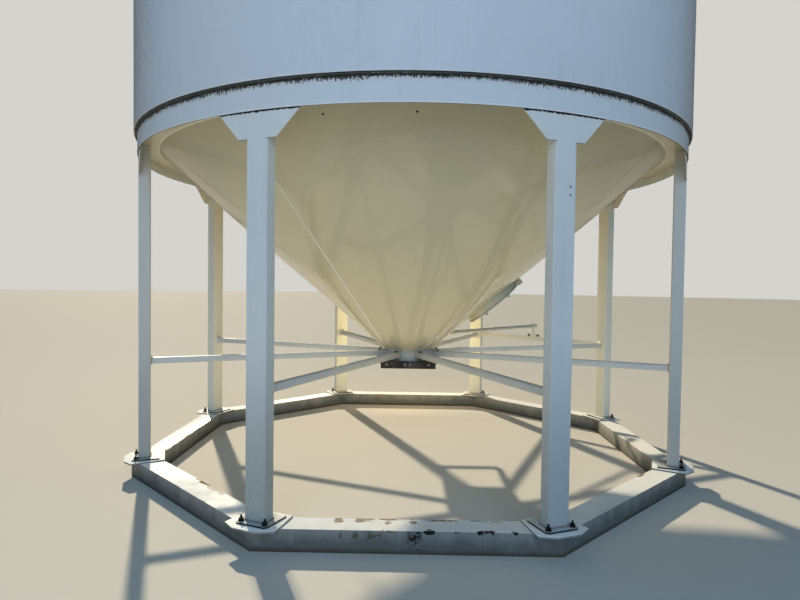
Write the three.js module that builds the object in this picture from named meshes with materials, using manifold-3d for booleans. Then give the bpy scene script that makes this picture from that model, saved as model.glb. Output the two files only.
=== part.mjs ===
// Smooth-wall steel grain silo with a cone hopper, standing on eight legs over an octagonal
// ring of base beams. Millimetres, +Z up. The origin is on the ground at the centre of the
// silo. The front, as photographed, faces -Y.

import * as THREE from 'three';
import { mergeVertices } from 'three/addons/utils/BufferGeometryUtils.js';
import Module from 'manifold-3d';

const wasm = await Module();
wasm.setup();

// Driving dimensions

const FIT = 0.3; // gap between pieces that touch
const SIDES = 8; // legs, spokes and base beams
const WELD = 1; // how far joined shapes reach into each other
const ROUND = 96; // facets of a full turn of the shells
const BAR_FACETS = 20; // facets of a round bar or pipe
const CUT_REACH = 1.3; // how far a cutting wedge reaches beyond the wall

const TANK_RADIUS = 2438; // outside of the wall, a 16 ft silo
const WALL_THICKNESS = 8;
const WALL_BOTTOM = 2803;
const COURSE_HEIGHT = 1219; // one rolled sheet, 4 ft
const COURSES = 4;
const WALL_SEAM_ANGLE = -7.2; // first upright weld, from the front toward +X

const SKIRT_RADIUS = 2412;
const SKIRT_THICKNESS = 8;
const SKIRT_BOTTOM = 2634;
const LEDGE_THICKNESS = 12;
const LEDGE_SETBACK = 4; // how far the ledge stays inside the wall's face
const LEDGE_INNER_RADIUS = 2345;

const CONE_SLOPE = 0.8448; // rise over run of the hopper
const CONE_APEX_Z = 797.5;
const CONE_THICKNESS = 8; // measured upright
const CONE_SEAM_ANGLE = -33.75;

const HOPPER_RIM_Z = 2700; // underside of the flat rim that the cone turns out into
const RIM_BEND_RADIUS = 60; // of the bend between cone and rim
const RIM_BEND_FACETS = 4;
const OUTLET_RADIUS = 223;
const OUTLET_THICKNESS = 8;
const COLLAR_BOTTOM = 889;
const COLLAR_TOP = 985;

const LEG_CIRCLE = 2357; // centre of each leg from the silo's axis
const LEG_WIDTH = 150;
const LEG_DEPTH = 94;
const LEG_WALL = 6;
const LEG_CORNER = 12;
const GUSSET_TOP_HALF = 292;
const GUSSET_BOTTOM_HALF = 130;
const GUSSET_THICKNESS = 6;
const GUSSET_BOTTOM = 2466;

const BEAM_WIDTH = 180;
const BEAM_HEIGHT = 140;
const PAD_THICKNESS = 10;
const PAD_INNER = 2200;
const PAD_SHOULDER = 2456;
const PAD_OUTER = 2510;
const PAD_INNER_HALF = 140;
const PAD_SHOULDER_HALF = 182;
const PAD_OUTER_HALF = 85;
const PLATE_THICKNESS = 10;
const PLATE_HALF_WIDTH = 118;
const PLATE_CORNER = 20;
const PLATE_INNER = 2241;
const PLATE_OUTER = 2452;
const ANCHOR_SPREAD = 87;
const ANCHOR_CIRCLE = 2420;
const NUT_RADIUS = 14;
const NUT_HEIGHT = 18;
const STUD_RADIUS = 5.5;
const STUD_HEIGHT = 36;

const BRACE_SIZE = 50;
const BRACE_MID_Z = 952;
const BRACE_FLARE = 22; // how far the end plate spreads above and below the tube
const BRACE_END = 24; // length of the flared end
const BRACE_CURVE = 4; // where the flare's curve turns, from the leg

const SIDE_BRACE_ANGLE = 135; // the bay that holds the side brace, the pipe and its bracket
const SIDE_BRACE_MID_Z = 957;
const PIPE_RADIUS = 19;
const PIPE_BORE = 15;
const PIPE_Z = 1112;
const PIPE_INNER_END = 400;
const PIPE_OUTER_END = 2205;
const PIPE_CLOSED = 20; // solid length at the inner end
const LUG_START = 4; // from the pipe's inner end
const LUG_WIDTH = 70;
const BRACKET_HALF = 90;
const BRACKET_HEIGHT = 36;
const STRAP_WIDTH = 34;
const STRAP_THICKNESS = 8;
const EYE_RIM = 13; // width of the ring round the pipe

const GATE_HALF = 255;
const GATE_FLANGE = 10;
const GATE_HEIGHT = 66;
const GATE_SIDE = 8;
const GATE_TAIL = 810; // how far the rails reach behind the outlet's axis
const GATE_LIP = 38;
const GATE_PLATE = 10;
const GATE_CLEARANCE = 5;
const GATE_TRAVEL = 430;
const GATE_CROSSBAR = 40;
const GATE_ROLLER = 8;
const GATE_ROLLER_LENGTH = 32;
const GATE_ROLLER_PLACES = [-200, 60, 300, 700];
const GATE_LUG = 12;
const GATE_LUG_HALF = 60;
const GATE_LUG_RISE = 30;

const MANHOLE_CENTRE_RADIUS = 790; // where the manhole's axis meets the hopper
const MANHOLE_RADIUS = 280;
const MANHOLE_WALL = 8;
const MANHOLE_PROUD = 30;
const MANHOLE_INSIDE = 46;
const LID_RADIUS = 288;
const LID_THICKNESS = 8;
const LID_HINGE_OFFSET = 34; // hinge pin beyond the lid's rim
const HINGE_PIN_RADIUS = 8;
const HINGE_PLAY = 1;
const HINGE_HALF = 70;
const HINGE_LUG = 12;
const HINGE_LUG_LOW = 6;
const HINGE_LUG_ROOT = -268;
const KNUCKLE_RADIUS = 16;
const KNUCKLE_HALF = 58;
const LID_CLEARANCE = 5;
const LID_ARM_LAP = 14;
const LID_ARM_HALF = 46;
const COLLAR_FACETS = 48;

const ROOF_SLOPE = 0.577; // 30 degrees
const ROOF_OVERHANG = 60;
const ROOF_THICKNESS = 8;
const ROOF_HOLE = 330;
const ROOF_COLLAR_HEIGHT = 160;
const ROOF_COLLAR_WALL = 8;
const ROOF_COLLAR_DROP = 40;
const ROOF_LID_RADIUS = 345;
const ROOF_LID_SKIRT = 45;
const ROOF_LID_EDGE = 12;
const ROOF_LID_RISE = 70;

const LADDER_ANGLE = 225; // back left, between two legs
const LADDER_HALF = 200;
const LADDER_STANDOFF = 160;
const LADDER_STILE_THICKNESS = 8;
const LADDER_TOP_RISE = 250; // above the eave, for stepping onto the roof
const LADDER_STILE = 34;
const LADDER_RUNG = 13;
const RUNG_FACETS = 8;
const LADDER_PITCH = 305;
const LADDER_BOTTOM = 2640; // out of a child's reach

// Worked-out sizes

const WALL_TOP = WALL_BOTTOM + COURSES * COURSE_HEIGHT;
const LEDGE_BOTTOM = WALL_BOTTOM - FIT - LEDGE_THICKNESS;
const PAD_TOP = BEAM_HEIGHT + FIT + PAD_THICKNESS;
const PLATE_BOTTOM = PAD_TOP + FIT;
const PLATE_TOP = PLATE_BOTTOM + PLATE_THICKNESS;
const BEAM_APOTHEM = LEG_CIRCLE * Math.cos(Math.PI / SIDES);
const BRACE_HALF = BRACE_SIZE / 2;
const COLLAR_OUTSIDE = OUTLET_RADIUS + FIT;
const LEG_INSIDE_FACE = LEG_CIRCLE - LEG_DEPTH / 2;
const coneUnder = (radius) => CONE_APEX_Z + CONE_SLOPE * radius;

const degrees = (angle) => (angle * Math.PI) / 180;
const LEG_ANGLES = Array.from({ length: SIDES }, (_, i) => -22.5 + (i * 360) / SIDES);
const LEG_NAMES = [
  'front_left', 'front_right', 'right_front', 'right_back',
  'back_right', 'back_left', 'left_back', 'left_front',
];
const BEAM_NAMES = [
  'front', 'front_right', 'right', 'back_right', 'back', 'back_left', 'left', 'front_left',
];

// Paints and metals

const paint = (color, roughness = 0.45) =>
  new THREE.MeshStandardMaterial({ color, roughness, metalness: 0.0 });
const bareMetal = (color, roughness = 0.5) =>
  new THREE.MeshStandardMaterial({ color, roughness, metalness: 0.85 });

const TANK_WHITE = 0xe9ebe8;
const HOPPER_CREAM = 0xe4dfc9;
const FRAME_WHITE = 0xe3e5e3;
const BASE_WHITE = 0xd9d6cd;
const GALVANIZED = 0x9b9c98;
const DARK_STEEL = 0x2f2a26;

// Solids

function toManifold(geometry) {
  const bare = geometry.index ? geometry.clone() : geometry;
  bare.deleteAttribute('normal');
  bare.deleteAttribute('uv');
  const merged = mergeVertices(bare, 1e-3);
  return new wasm.Manifold(
    new wasm.Mesh({
      numProp: 3,
      vertProperties: new Float32Array(merged.attributes.position.array),
      triVerts: new Uint32Array(merged.index.array),
    }),
  );
}

function toGeometry(solid) {
  const mesh = solid.getMesh();
  const geometry = new THREE.BufferGeometry();
  const stride = mesh.numProp;
  const count = mesh.vertProperties.length / stride;
  const positions = new Float32Array(count * 3);
  for (let i = 0; i < count; i += 1) {
    positions.set(mesh.vertProperties.subarray(i * stride, i * stride + 3), i * 3);
  }
  geometry.setAttribute('position', new THREE.BufferAttribute(positions, 3));
  geometry.setIndex(new THREE.BufferAttribute(new Uint32Array(mesh.triVerts), 1));
  geometry.computeVertexNormals();
  return geometry;
}

const join = (...geometries) =>
  toGeometry(geometries.map(toManifold).reduce((whole, next) => whole.add(next)));
const cut = (geometry, ...tools) =>
  toGeometry(tools.map(toManifold).reduce((rest, next) => rest.subtract(next), toManifold(geometry)));
const common = (a, b) => toGeometry(toManifold(a).intersect(toManifold(b)));

// A box given by its middle and its sizes along X, Y and Z.
const block = (x, y, z, dx, dy, dz) => new THREE.BoxGeometry(dx, dy, dz).translate(x, y, z);

// A box given by its lowest corner and its highest corner.
function span(low, high) {
  const size = high.map((value, i) => value - low[i]);
  const middle = high.map((value, i) => (value + low[i]) / 2);
  return block(...middle, ...size);
}

// An upright prism over an outline in X and Y.
function prism(outline, bottom, top) {
  const shape = new THREE.Shape(outline.map(([x, y]) => new THREE.Vector2(x, y)));
  const geometry = new THREE.ExtrudeGeometry(shape, { depth: top - bottom, bevelEnabled: false });
  return geometry.translate(0, 0, bottom);
}

// A solid of revolution about Z from a closed outline of radius and height.
function revolve(outline, facets = ROUND, turn = 0) {
  const points = [...outline, outline[0]].map(([r, z]) => new THREE.Vector2(r, z));
  return new THREE.LatheGeometry(points, facets).rotateX(Math.PI / 2).rotateZ(turn);
}

// A pipe or bar along X, from one end to the other, at a height.
function pipeAlongX(from, to, radius, facets, z) {
  return new THREE.CylinderGeometry(radius, radius, to - from, facets)
    .rotateZ(Math.PI / 2)
    .translate((from + to) / 2, 0, z);
}

// The wedge between two angles, measured from the front toward +X, less half a fit each side.
function wedge(fromAngle, toAngle, reach, bottom, top) {
  const middle = degrees((fromAngle + toAngle) / 2);
  const half = degrees((toAngle - fromAngle) / 2);
  const outline = [
    [0, 0],
    [reach * Math.cos(half), -reach * Math.sin(half)],
    [reach * CUT_REACH, 0],
    [reach * Math.cos(half), reach * Math.sin(half)],
  ];
  const shift = FIT / 2 / Math.sin(half);
  const geometry = prism(outline, bottom, top).translate(shift, 0, 0);
  return geometry.rotateZ(middle - Math.PI / 2);
}

// The scene

const silo = new THREE.Group();

function add(name, geometry, material) {
  const mesh = new THREE.Mesh(geometry, material);
  mesh.name = name;
  silo.add(mesh);
  return mesh;
}

// Places a piece that was built along +X at its angle round the silo.
function addRound(name, geometry, material, angle) {
  const mesh = add(name, geometry, material);
  mesh.rotation.z = degrees(angle) - Math.PI / 2;
  return mesh;
}

// Four rolled segments of one round shell, each between two upright seams.
function addQuarters(name, shell, color, seamAngle, placeNames) {
  const step = 360 / placeNames.length;
  placeNames.forEach((place, i) => {
    const from = seamAngle + i * step;
    const part = common(shell, wedge(from, from + step, TANK_RADIUS * CUT_REACH, 0, WALL_TOP * CUT_REACH));
    add(`${name}_${place}`, part, paint(color, 0.35));
  });
}

// Base ring: a mitred box beam on each side

function baseBeam() {
  const inner = BEAM_APOTHEM - BEAM_WIDTH / 2;
  const outer = BEAM_APOTHEM + BEAM_WIDTH / 2;
  const slope = Math.tan(Math.PI / SIDES);
  const mitre = FIT / 2 / Math.cos(Math.PI / SIDES);
  return prism(
    [
      [inner, -inner * slope + mitre],
      [outer, -outer * slope + mitre],
      [outer, outer * slope - mitre],
      [inner, inner * slope - mitre],
    ],
    0,
    BEAM_HEIGHT,
  );
}

// The chamfered pad over a corner of the ring, as an outline along +X.
function padPrism(bottom, top) {
  return prism(
    [
      [PAD_INNER, -PAD_INNER_HALF],
      [PAD_SHOULDER, -PAD_SHOULDER_HALF],
      [PAD_OUTER, -PAD_OUTER_HALF],
      [PAD_OUTER, PAD_OUTER_HALF],
      [PAD_SHOULDER, PAD_SHOULDER_HALF],
      [PAD_INNER, PAD_INNER_HALF],
    ],
    bottom,
    top,
  );
}

// Each beam carries the pad at its left end. The pad lies just over the next beam's end.
function beamWithPad() {
  const turn = Math.PI / SIDES;
  const pad = padPrism(BEAM_HEIGHT + FIT, PAD_TOP);
  const ownHalf = prism(
    [[0, FIT], [PAD_OUTER, FIT], [PAD_OUTER, PAD_OUTER / 2], [0, PAD_OUTER / 2]],
    0,
    PAD_TOP,
  );
  const weld = common(padPrism(BEAM_HEIGHT - WELD, BEAM_HEIGHT + FIT + WELD), ownHalf);
  const ownBeam = baseBeam();
  return join(ownBeam, join(pad, weld).rotateZ(-turn));
}

// A leg: tube, base plate with its two anchors, and the gusset behind the skirt

function roundedRectangle(width, depth, corner) {
  const x = depth / 2;
  const y = width / 2;
  const shape = new THREE.Shape();
  shape.moveTo(-x + corner, -y);
  shape.lineTo(x - corner, -y);
  shape.absarc(x - corner, -y + corner, corner, -Math.PI / 2, 0);
  shape.lineTo(x, y - corner);
  shape.absarc(x - corner, y - corner, corner, 0, Math.PI / 2);
  shape.lineTo(-x + corner, y);
  shape.absarc(-x + corner, y - corner, corner, Math.PI / 2, Math.PI);
  shape.lineTo(-x, -y + corner);
  shape.absarc(-x + corner, -y + corner, corner, Math.PI, Math.PI * 1.5);
  return shape;
}

function legTube() {
  const shape = roundedRectangle(LEG_WIDTH, LEG_DEPTH, LEG_CORNER);
  const bore = roundedRectangle(
    LEG_WIDTH - 2 * LEG_WALL,
    LEG_DEPTH - 2 * LEG_WALL,
    LEG_CORNER - LEG_WALL,
  );
  shape.holes.push(bore);
  const top = HOPPER_RIM_Z - FIT;
  return new THREE.ExtrudeGeometry(shape, {
    depth: top - PLATE_TOP + WELD,
    bevelEnabled: false,
    curveSegments: 3,
  }).translate(LEG_CIRCLE, 0, PLATE_TOP - WELD);
}

// The gusset is bent to the skirt's inner face, so it is cut from a ring by its own outline.
function gusset() {
  const outer = SKIRT_RADIUS - SKIRT_THICKNESS - FIT;
  const top = HOPPER_RIM_Z - FIT;
  const shape = new THREE.Shape([
    new THREE.Vector2(-GUSSET_BOTTOM_HALF, GUSSET_BOTTOM),
    new THREE.Vector2(GUSSET_BOTTOM_HALF, GUSSET_BOTTOM),
    new THREE.Vector2(GUSSET_TOP_HALF, SKIRT_BOTTOM),
    new THREE.Vector2(GUSSET_TOP_HALF, top),
    new THREE.Vector2(-GUSSET_TOP_HALF, top),
    new THREE.Vector2(-GUSSET_TOP_HALF, SKIRT_BOTTOM),
  ]);
  const outline = new THREE.ExtrudeGeometry(shape, { depth: LEG_DEPTH, bevelEnabled: false });
  // The outline's X becomes Y and its Y becomes Z, and it grows outward along X.
  outline.rotateX(Math.PI / 2).rotateZ(Math.PI / 2).translate(LEG_CIRCLE, 0, 0);
  const ring = revolve([
    [outer - GUSSET_THICKNESS, GUSSET_BOTTOM - WELD],
    [outer, GUSSET_BOTTOM - WELD],
    [outer, top + WELD],
    [outer - GUSSET_THICKNESS, top + WELD],
  ]);
  return common(ring, outline);
}

// A cylinder that stands on the floor plane.
function upright(radius, height, sides) {
  return new THREE.CylinderGeometry(radius, radius, height, sides)
    .rotateX(Math.PI / 2)
    .translate(0, 0, height / 2);
}

function leg() {
  const plate = prism(
    [
      [PLATE_INNER, -PLATE_HALF_WIDTH],
      [PLATE_OUTER - PLATE_CORNER, -PLATE_HALF_WIDTH],
      [PLATE_OUTER, PLATE_CORNER - PLATE_HALF_WIDTH],
      [PLATE_OUTER, PLATE_HALF_WIDTH - PLATE_CORNER],
      [PLATE_OUTER - PLATE_CORNER, PLATE_HALF_WIDTH],
      [PLATE_INNER, PLATE_HALF_WIDTH],
    ],
    PLATE_BOTTOM,
    PLATE_TOP,
  );
  const anchors = [];
  for (const y of [-ANCHOR_SPREAD, ANCHOR_SPREAD]) {
    anchors.push(
      upright(NUT_RADIUS, NUT_HEIGHT, 6).translate(ANCHOR_CIRCLE, y, PLATE_TOP - WELD),
      upright(STUD_RADIUS, STUD_HEIGHT, 8).translate(ANCHOR_CIRCLE, y, PLATE_TOP - WELD),
    );
  }
  // The tube's outer corners are cut away where they would reach the skirt's inner face.
  const insideSkirt = revolve(
    [
      [0, 0],
      [SKIRT_RADIUS - SKIRT_THICKNESS - FIT, 0],
      [SKIRT_RADIUS - SKIRT_THICKNESS - FIT, WALL_BOTTOM],
      [0, WALL_BOTTOM],
    ],
    ROUND,
  );
  const steel = join(legTube(), gusset());
  return join(common(steel, insideSkirt), plate, ...anchors);
}

// A spoke brace with a flared plate where it meets the leg

function spokeBrace() {
  const from = COLLAR_OUTSIDE;
  const to = LEG_INSIDE_FACE - FIT;
  const tube = span(
    [from, -BRACE_HALF, BRACE_MID_Z - BRACE_HALF],
    [to, BRACE_HALF, BRACE_MID_Z + BRACE_HALF],
  );
  const reach = BRACE_HALF + BRACE_FLARE;
  const top = BRACE_MID_Z + BRACE_HALF;
  const bottom = BRACE_MID_Z - BRACE_HALF;
  const shape = new THREE.Shape();
  shape.moveTo(to, BRACE_MID_Z - reach);
  shape.lineTo(to, BRACE_MID_Z + reach);
  shape.quadraticCurveTo(to - BRACE_CURVE, top, to - BRACE_END, top);
  shape.lineTo(to - BRACE_END, bottom);
  shape.quadraticCurveTo(to - BRACE_CURVE, bottom, to, BRACE_MID_Z - reach);
  const flare = new THREE.ExtrudeGeometry(shape, {
    depth: BRACE_SIZE,
    bevelEnabled: false,
    curveSegments: 4,
  });
  flare.rotateX(Math.PI / 2).translate(0, BRACE_HALF, 0);
  return join(tube, flare);
}

// The side brace of one bay, with the bracket and strap that hold the pipe's outer end

function sideBrace() {
  const half = LEG_CIRCLE * Math.sin(Math.PI / SIDES) - LEG_WIDTH / 2 / Math.cos(Math.PI / SIDES);
  const run = BEAM_APOTHEM;
  const lean = Math.tan(Math.PI / SIDES) * BRACE_HALF;
  const bar = prism(
    [
      [run - BRACE_HALF, -half + lean + FIT],
      [run + BRACE_HALF, -half - lean + FIT],
      [run + BRACE_HALF, half + lean - FIT],
      [run - BRACE_HALF, half - lean - FIT],
    ],
    SIDE_BRACE_MID_Z - BRACE_HALF,
    SIDE_BRACE_MID_Z + BRACE_HALF,
  );
  const top = SIDE_BRACE_MID_Z + BRACE_HALF;
  const bracket = span(
    [run - BRACE_HALF, -BRACKET_HALF, top - WELD],
    [run - BRACE_HALF + STRAP_THICKNESS, BRACKET_HALF, top + BRACKET_HEIGHT],
  );
  const strap = span(
    [run - BRACE_HALF, -STRAP_WIDTH / 2, top - WELD],
    [run - BRACE_HALF + STRAP_THICKNESS, STRAP_WIDTH / 2, PIPE_Z + PIPE_RADIUS + EYE_RIM - WELD],
  );
  const strapFace = run - BRACE_HALF;
  const strapBack = strapFace + STRAP_THICKNESS;
  const hole = PIPE_RADIUS + FIT;
  const pipeHole = pipeAlongX(run - BRACE_SIZE, run + BRACE_SIZE, hole, BAR_FACETS, PIPE_Z);
  const eye = pipeAlongX(strapFace, strapBack, PIPE_RADIUS + EYE_RIM, BAR_FACETS, PIPE_Z);
  return cut(join(bar, bracket, strap, eye), pipeHole);
}

// The pipe, with the lug that holds its inner end to the hopper

function pipe() {
  const tube = cut(
    pipeAlongX(PIPE_INNER_END, PIPE_OUTER_END, PIPE_RADIUS, BAR_FACETS, PIPE_Z),
    pipeAlongX(PIPE_INNER_END + PIPE_CLOSED, PIPE_OUTER_END + PIPE_CLOSED, PIPE_BORE, BAR_FACETS, PIPE_Z),
  );
  const lugFrom = PIPE_INNER_END + LUG_START;
  const lugTo = lugFrom + LUG_WIDTH;
  const lug = new THREE.ExtrudeGeometry(
    new THREE.Shape([
      new THREE.Vector2(lugFrom, PIPE_Z),
      new THREE.Vector2(lugTo, PIPE_Z),
      new THREE.Vector2(lugTo, coneUnder(lugTo) - FIT * 2),
      new THREE.Vector2(lugFrom, coneUnder(lugFrom) - FIT * 2),
    ]),
    { depth: STRAP_THICKNESS, bevelEnabled: false },
  );
  lug.rotateX(Math.PI / 2).translate(0, STRAP_THICKNESS / 2, 0);
  return join(tube, lug);
}

// Round shells

function wallShell() {
  const inner = TANK_RADIUS - WALL_THICKNESS;
  return revolve([
    [inner, WALL_BOTTOM],
    [TANK_RADIUS, WALL_BOTTOM],
    [TANK_RADIUS, WALL_TOP],
    [inner, WALL_TOP],
  ]);
}

function skirtShell() {
  const inner = SKIRT_RADIUS - SKIRT_THICKNESS;
  const flange = TANK_RADIUS - LEDGE_SETBACK;
  return revolve([
    [inner, SKIRT_BOTTOM],
    [SKIRT_RADIUS, SKIRT_BOTTOM],
    [SKIRT_RADIUS, LEDGE_BOTTOM],
    [flange, LEDGE_BOTTOM],
    [flange, LEDGE_BOTTOM + LEDGE_THICKNESS],
    [LEDGE_INNER_RADIUS, LEDGE_BOTTOM + LEDGE_THICKNESS],
    [LEDGE_INNER_RADIUS, LEDGE_BOTTOM],
    [inner, LEDGE_BOTTOM],
  ]);
}

// The underside of the bend that turns the cone out into its flat rim, from the cone outward.
function rimBend() {
  const slant = Math.atan(CONE_SLOPE);
  const corner = (HOPPER_RIM_Z - CONE_APEX_Z) / CONE_SLOPE;
  const centre = corner + RIM_BEND_RADIUS * Math.tan(slant / 2);
  const points = [];
  for (let i = 0; i <= RIM_BEND_FACETS; i += 1) {
    const turn = slant * (1 - i / RIM_BEND_FACETS);
    points.push([
      centre - RIM_BEND_RADIUS * Math.sin(turn),
      HOPPER_RIM_Z - RIM_BEND_RADIUS * (1 - Math.cos(turn)),
    ]);
  }
  return points;
}

function hopperShell() {
  const low = OUTLET_RADIUS - OUTLET_THICKNESS;
  const foot = COLLAR_TOP + FIT;
  const edge = SKIRT_RADIUS - SKIRT_THICKNESS - FIT;
  const under = [...rimBend(), [edge, HOPPER_RIM_Z]];
  const over = under.map(([r, z]) => [r, z + CONE_THICKNESS]).reverse();
  return revolve([
    [low, foot],
    [OUTLET_RADIUS, foot],
    ...under,
    ...over,
    [low, foot + CONE_THICKNESS],
  ]);
}

const underRoof = (radius) => WALL_TOP + FIT + (TANK_RADIUS - radius) * ROOF_SLOPE;

function roofShell() {
  const eave = TANK_RADIUS + ROOF_OVERHANG;
  return revolve([
    [eave, underRoof(eave)],
    [eave, underRoof(eave) + ROOF_THICKNESS],
    [ROOF_HOLE, underRoof(ROOF_HOLE) + ROOF_THICKNESS],
    [ROOF_HOLE, underRoof(ROOF_HOLE)],
  ]);
}

// Roof collar and fill lid

const ROOF_PEAK = underRoof(ROOF_HOLE) + ROOF_THICKNESS;
const ROOF_COLLAR_TOP = ROOF_PEAK + ROOF_COLLAR_HEIGHT;

function roofCollar() {
  const outer = ROOF_HOLE - FIT;
  return revolve(
    [
      [outer - ROOF_COLLAR_WALL, ROOF_PEAK - ROOF_COLLAR_DROP],
      [outer, ROOF_PEAK - ROOF_COLLAR_DROP],
      [outer, ROOF_COLLAR_TOP],
      [outer - ROOF_COLLAR_WALL, ROOF_COLLAR_TOP],
    ],
    COLLAR_FACETS,
  );
}

function roofLid() {
  const bottom = ROOF_COLLAR_TOP + FIT;
  return revolve(
    [
      [0, bottom],
      [ROOF_HOLE, bottom],
      [ROOF_HOLE, bottom - ROOF_LID_SKIRT],
      [ROOF_LID_RADIUS, bottom - ROOF_LID_SKIRT],
      [ROOF_LID_RADIUS, bottom + ROOF_LID_EDGE],
      [0, bottom + ROOF_LID_RISE],
    ],
    COLLAR_FACETS,
  );
}

// Outlet collar and slide gate

function outletCollar() {
  const inner = OUTLET_RADIUS - OUTLET_THICKNESS;
  return revolve(
    [
      [inner, COLLAR_BOTTOM],
      [OUTLET_RADIUS, COLLAR_BOTTOM],
      [OUTLET_RADIUS, COLLAR_TOP],
      [inner, COLLAR_TOP],
    ],
    ROUND,
  );
}

const GATE_TOP = COLLAR_BOTTOM - FIT;
const GATE_BOTTOM = GATE_TOP - GATE_HEIGHT;
const GATE_PLATE_TOP = GATE_TOP - GATE_FLANGE - GATE_CLEARANCE;
const GATE_LIP_TOP = GATE_PLATE_TOP - GATE_PLATE - GATE_CLEARANCE;

function gateRail() {
  const web = span([GATE_HALF - GATE_SIDE, -GATE_HALF, GATE_BOTTOM], [GATE_HALF, GATE_TAIL, GATE_TOP]);
  const lip = span(
    [GATE_HALF - GATE_LIP, -GATE_HALF, GATE_LIP_TOP - GATE_SIDE],
    [GATE_HALF, GATE_TAIL, GATE_LIP_TOP],
  );
  return join(web, lip);
}

// A roller on the inside of a rail, with its top just under the slide.
function gateRoller(side, y) {
  const from = GATE_HALF - GATE_ROLLER_LENGTH;
  const to = GATE_HALF - GATE_SIDE / 2;
  const z = GATE_LIP_TOP + GATE_CLEARANCE - FIT - GATE_ROLLER;
  const [low, high] = side > 0 ? [from, to] : [-to, -from];
  return pipeAlongX(low, high, GATE_ROLLER, BAR_FACETS, z).translate(0, y, 0);
}

function gateFrame() {
  const flange = span([-GATE_HALF, -GATE_HALF, GATE_TOP - GATE_FLANGE], [GATE_HALF, GATE_HALF, GATE_TOP]);
  const front = span([-GATE_HALF, -GATE_HALF, GATE_BOTTOM], [GATE_HALF, -GATE_HALF + GATE_SIDE, GATE_TOP]);
  const rightRail = gateRail();
  const leftRail = gateRail()
    .rotateZ(Math.PI)
    .translate(0, GATE_TAIL - GATE_HALF, 0);
  const crossbar = span(
    [-GATE_HALF, GATE_TAIL - GATE_CROSSBAR, GATE_BOTTOM],
    [GATE_HALF, GATE_TAIL, GATE_LIP_TOP],
  );
  const rollers = GATE_ROLLER_PLACES.flatMap((y) => [-1, 1].map((side) => gateRoller(side, y)));
  const bore = OUTLET_RADIUS - OUTLET_THICKNESS;
  const hole = new THREE.CylinderGeometry(bore, bore, GATE_HEIGHT * 3, ROUND)
    .rotateX(Math.PI / 2)
    .translate(0, 0, GATE_TOP);
  return cut(join(flange, front, rightRail, leftRail, crossbar, ...rollers), hole);
}

function gateSlide() {
  const half = GATE_HALF - GATE_SIDE - GATE_CLEARANCE;
  const front = -GATE_HALF + GATE_SIDE + GATE_CLEARANCE;
  const back = GATE_TAIL - GATE_CROSSBAR - GATE_CLEARANCE - GATE_TRAVEL;
  const plate = span([-half, front, GATE_PLATE_TOP - GATE_PLATE], [half, back, GATE_PLATE_TOP]);
  const lug = span(
    [-GATE_LUG_HALF, back - GATE_LUG, GATE_PLATE_TOP - WELD],
    [GATE_LUG_HALF, back, GATE_TOP + GATE_LUG_RISE],
  );
  return join(plate, lug);
}

// Manhole on the right side of the hopper, built upright and then leaned onto the cone

const MANHOLE_LEAN = Math.PI - Math.atan(CONE_SLOPE);
const LID_BOTTOM = MANHOLE_PROUD + LID_CLEARANCE;
const HINGE_X = -(LID_RADIUS + LID_HINGE_OFFSET);
const HINGE_Z = LID_BOTTOM + LID_THICKNESS / 2;

function leanOnCone(geometry) {
  return geometry
    .rotateY(MANHOLE_LEAN)
    .translate(MANHOLE_CENTRE_RADIUS, 0, coneUnder(MANHOLE_CENTRE_RADIUS));
}

function manholeDrum(radius, from, to) {
  return new THREE.CylinderGeometry(radius, radius, to - from, COLLAR_FACETS)
    .rotateX(Math.PI / 2)
    .translate(0, 0, (from + to) / 2);
}

// A round bar along Y on the hinge's axis.
function hingeBar(radius, half) {
  return new THREE.CylinderGeometry(radius, radius, 2 * half, BAR_FACETS).translate(HINGE_X, 0, HINGE_Z);
}

function manholeCollar() {
  const ring = cut(
    manholeDrum(MANHOLE_RADIUS, -MANHOLE_INSIDE, MANHOLE_PROUD),
    manholeDrum(MANHOLE_RADIUS - MANHOLE_WALL, -MANHOLE_INSIDE * 2, MANHOLE_PROUD * 2),
  );
  const lugs = [-1, 1].map((side) =>
    span(
      [HINGE_X - KNUCKLE_RADIUS, side * HINGE_HALF - HINGE_LUG / 2, HINGE_LUG_LOW],
      [HINGE_LUG_ROOT, side * HINGE_HALF + HINGE_LUG / 2, HINGE_Z + KNUCKLE_RADIUS],
    ),
  );
  // The lugs stop at the ring's outside, below the lid's rim.
  const lidSweep = manholeDrum(LID_RADIUS + LID_CLEARANCE, MANHOLE_PROUD, HINGE_Z + 3 * KNUCKLE_RADIUS);
  const trimmed = lugs.map((lug) => cut(lug, lidSweep));
  return leanOnCone(join(ring, ...trimmed, hingeBar(HINGE_PIN_RADIUS, HINGE_HALF)));
}

function manholeLid() {
  const disc = manholeDrum(LID_RADIUS, LID_BOTTOM, LID_BOTTOM + LID_THICKNESS);
  const arm = span(
    [HINGE_X, -LID_ARM_HALF, LID_BOTTOM],
    [HINGE_X + LID_HINGE_OFFSET + LID_ARM_LAP, LID_ARM_HALF, LID_BOTTOM + LID_THICKNESS],
  );
  const leaf = join(disc, arm, hingeBar(KNUCKLE_RADIUS, KNUCKLE_HALF));
  return leanOnCone(cut(leaf, hingeBar(HINGE_PIN_RADIUS + HINGE_PLAY, HINGE_HALF)));
}

// Outside ladder: two stiles, rungs, and stand-offs to the wall

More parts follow.
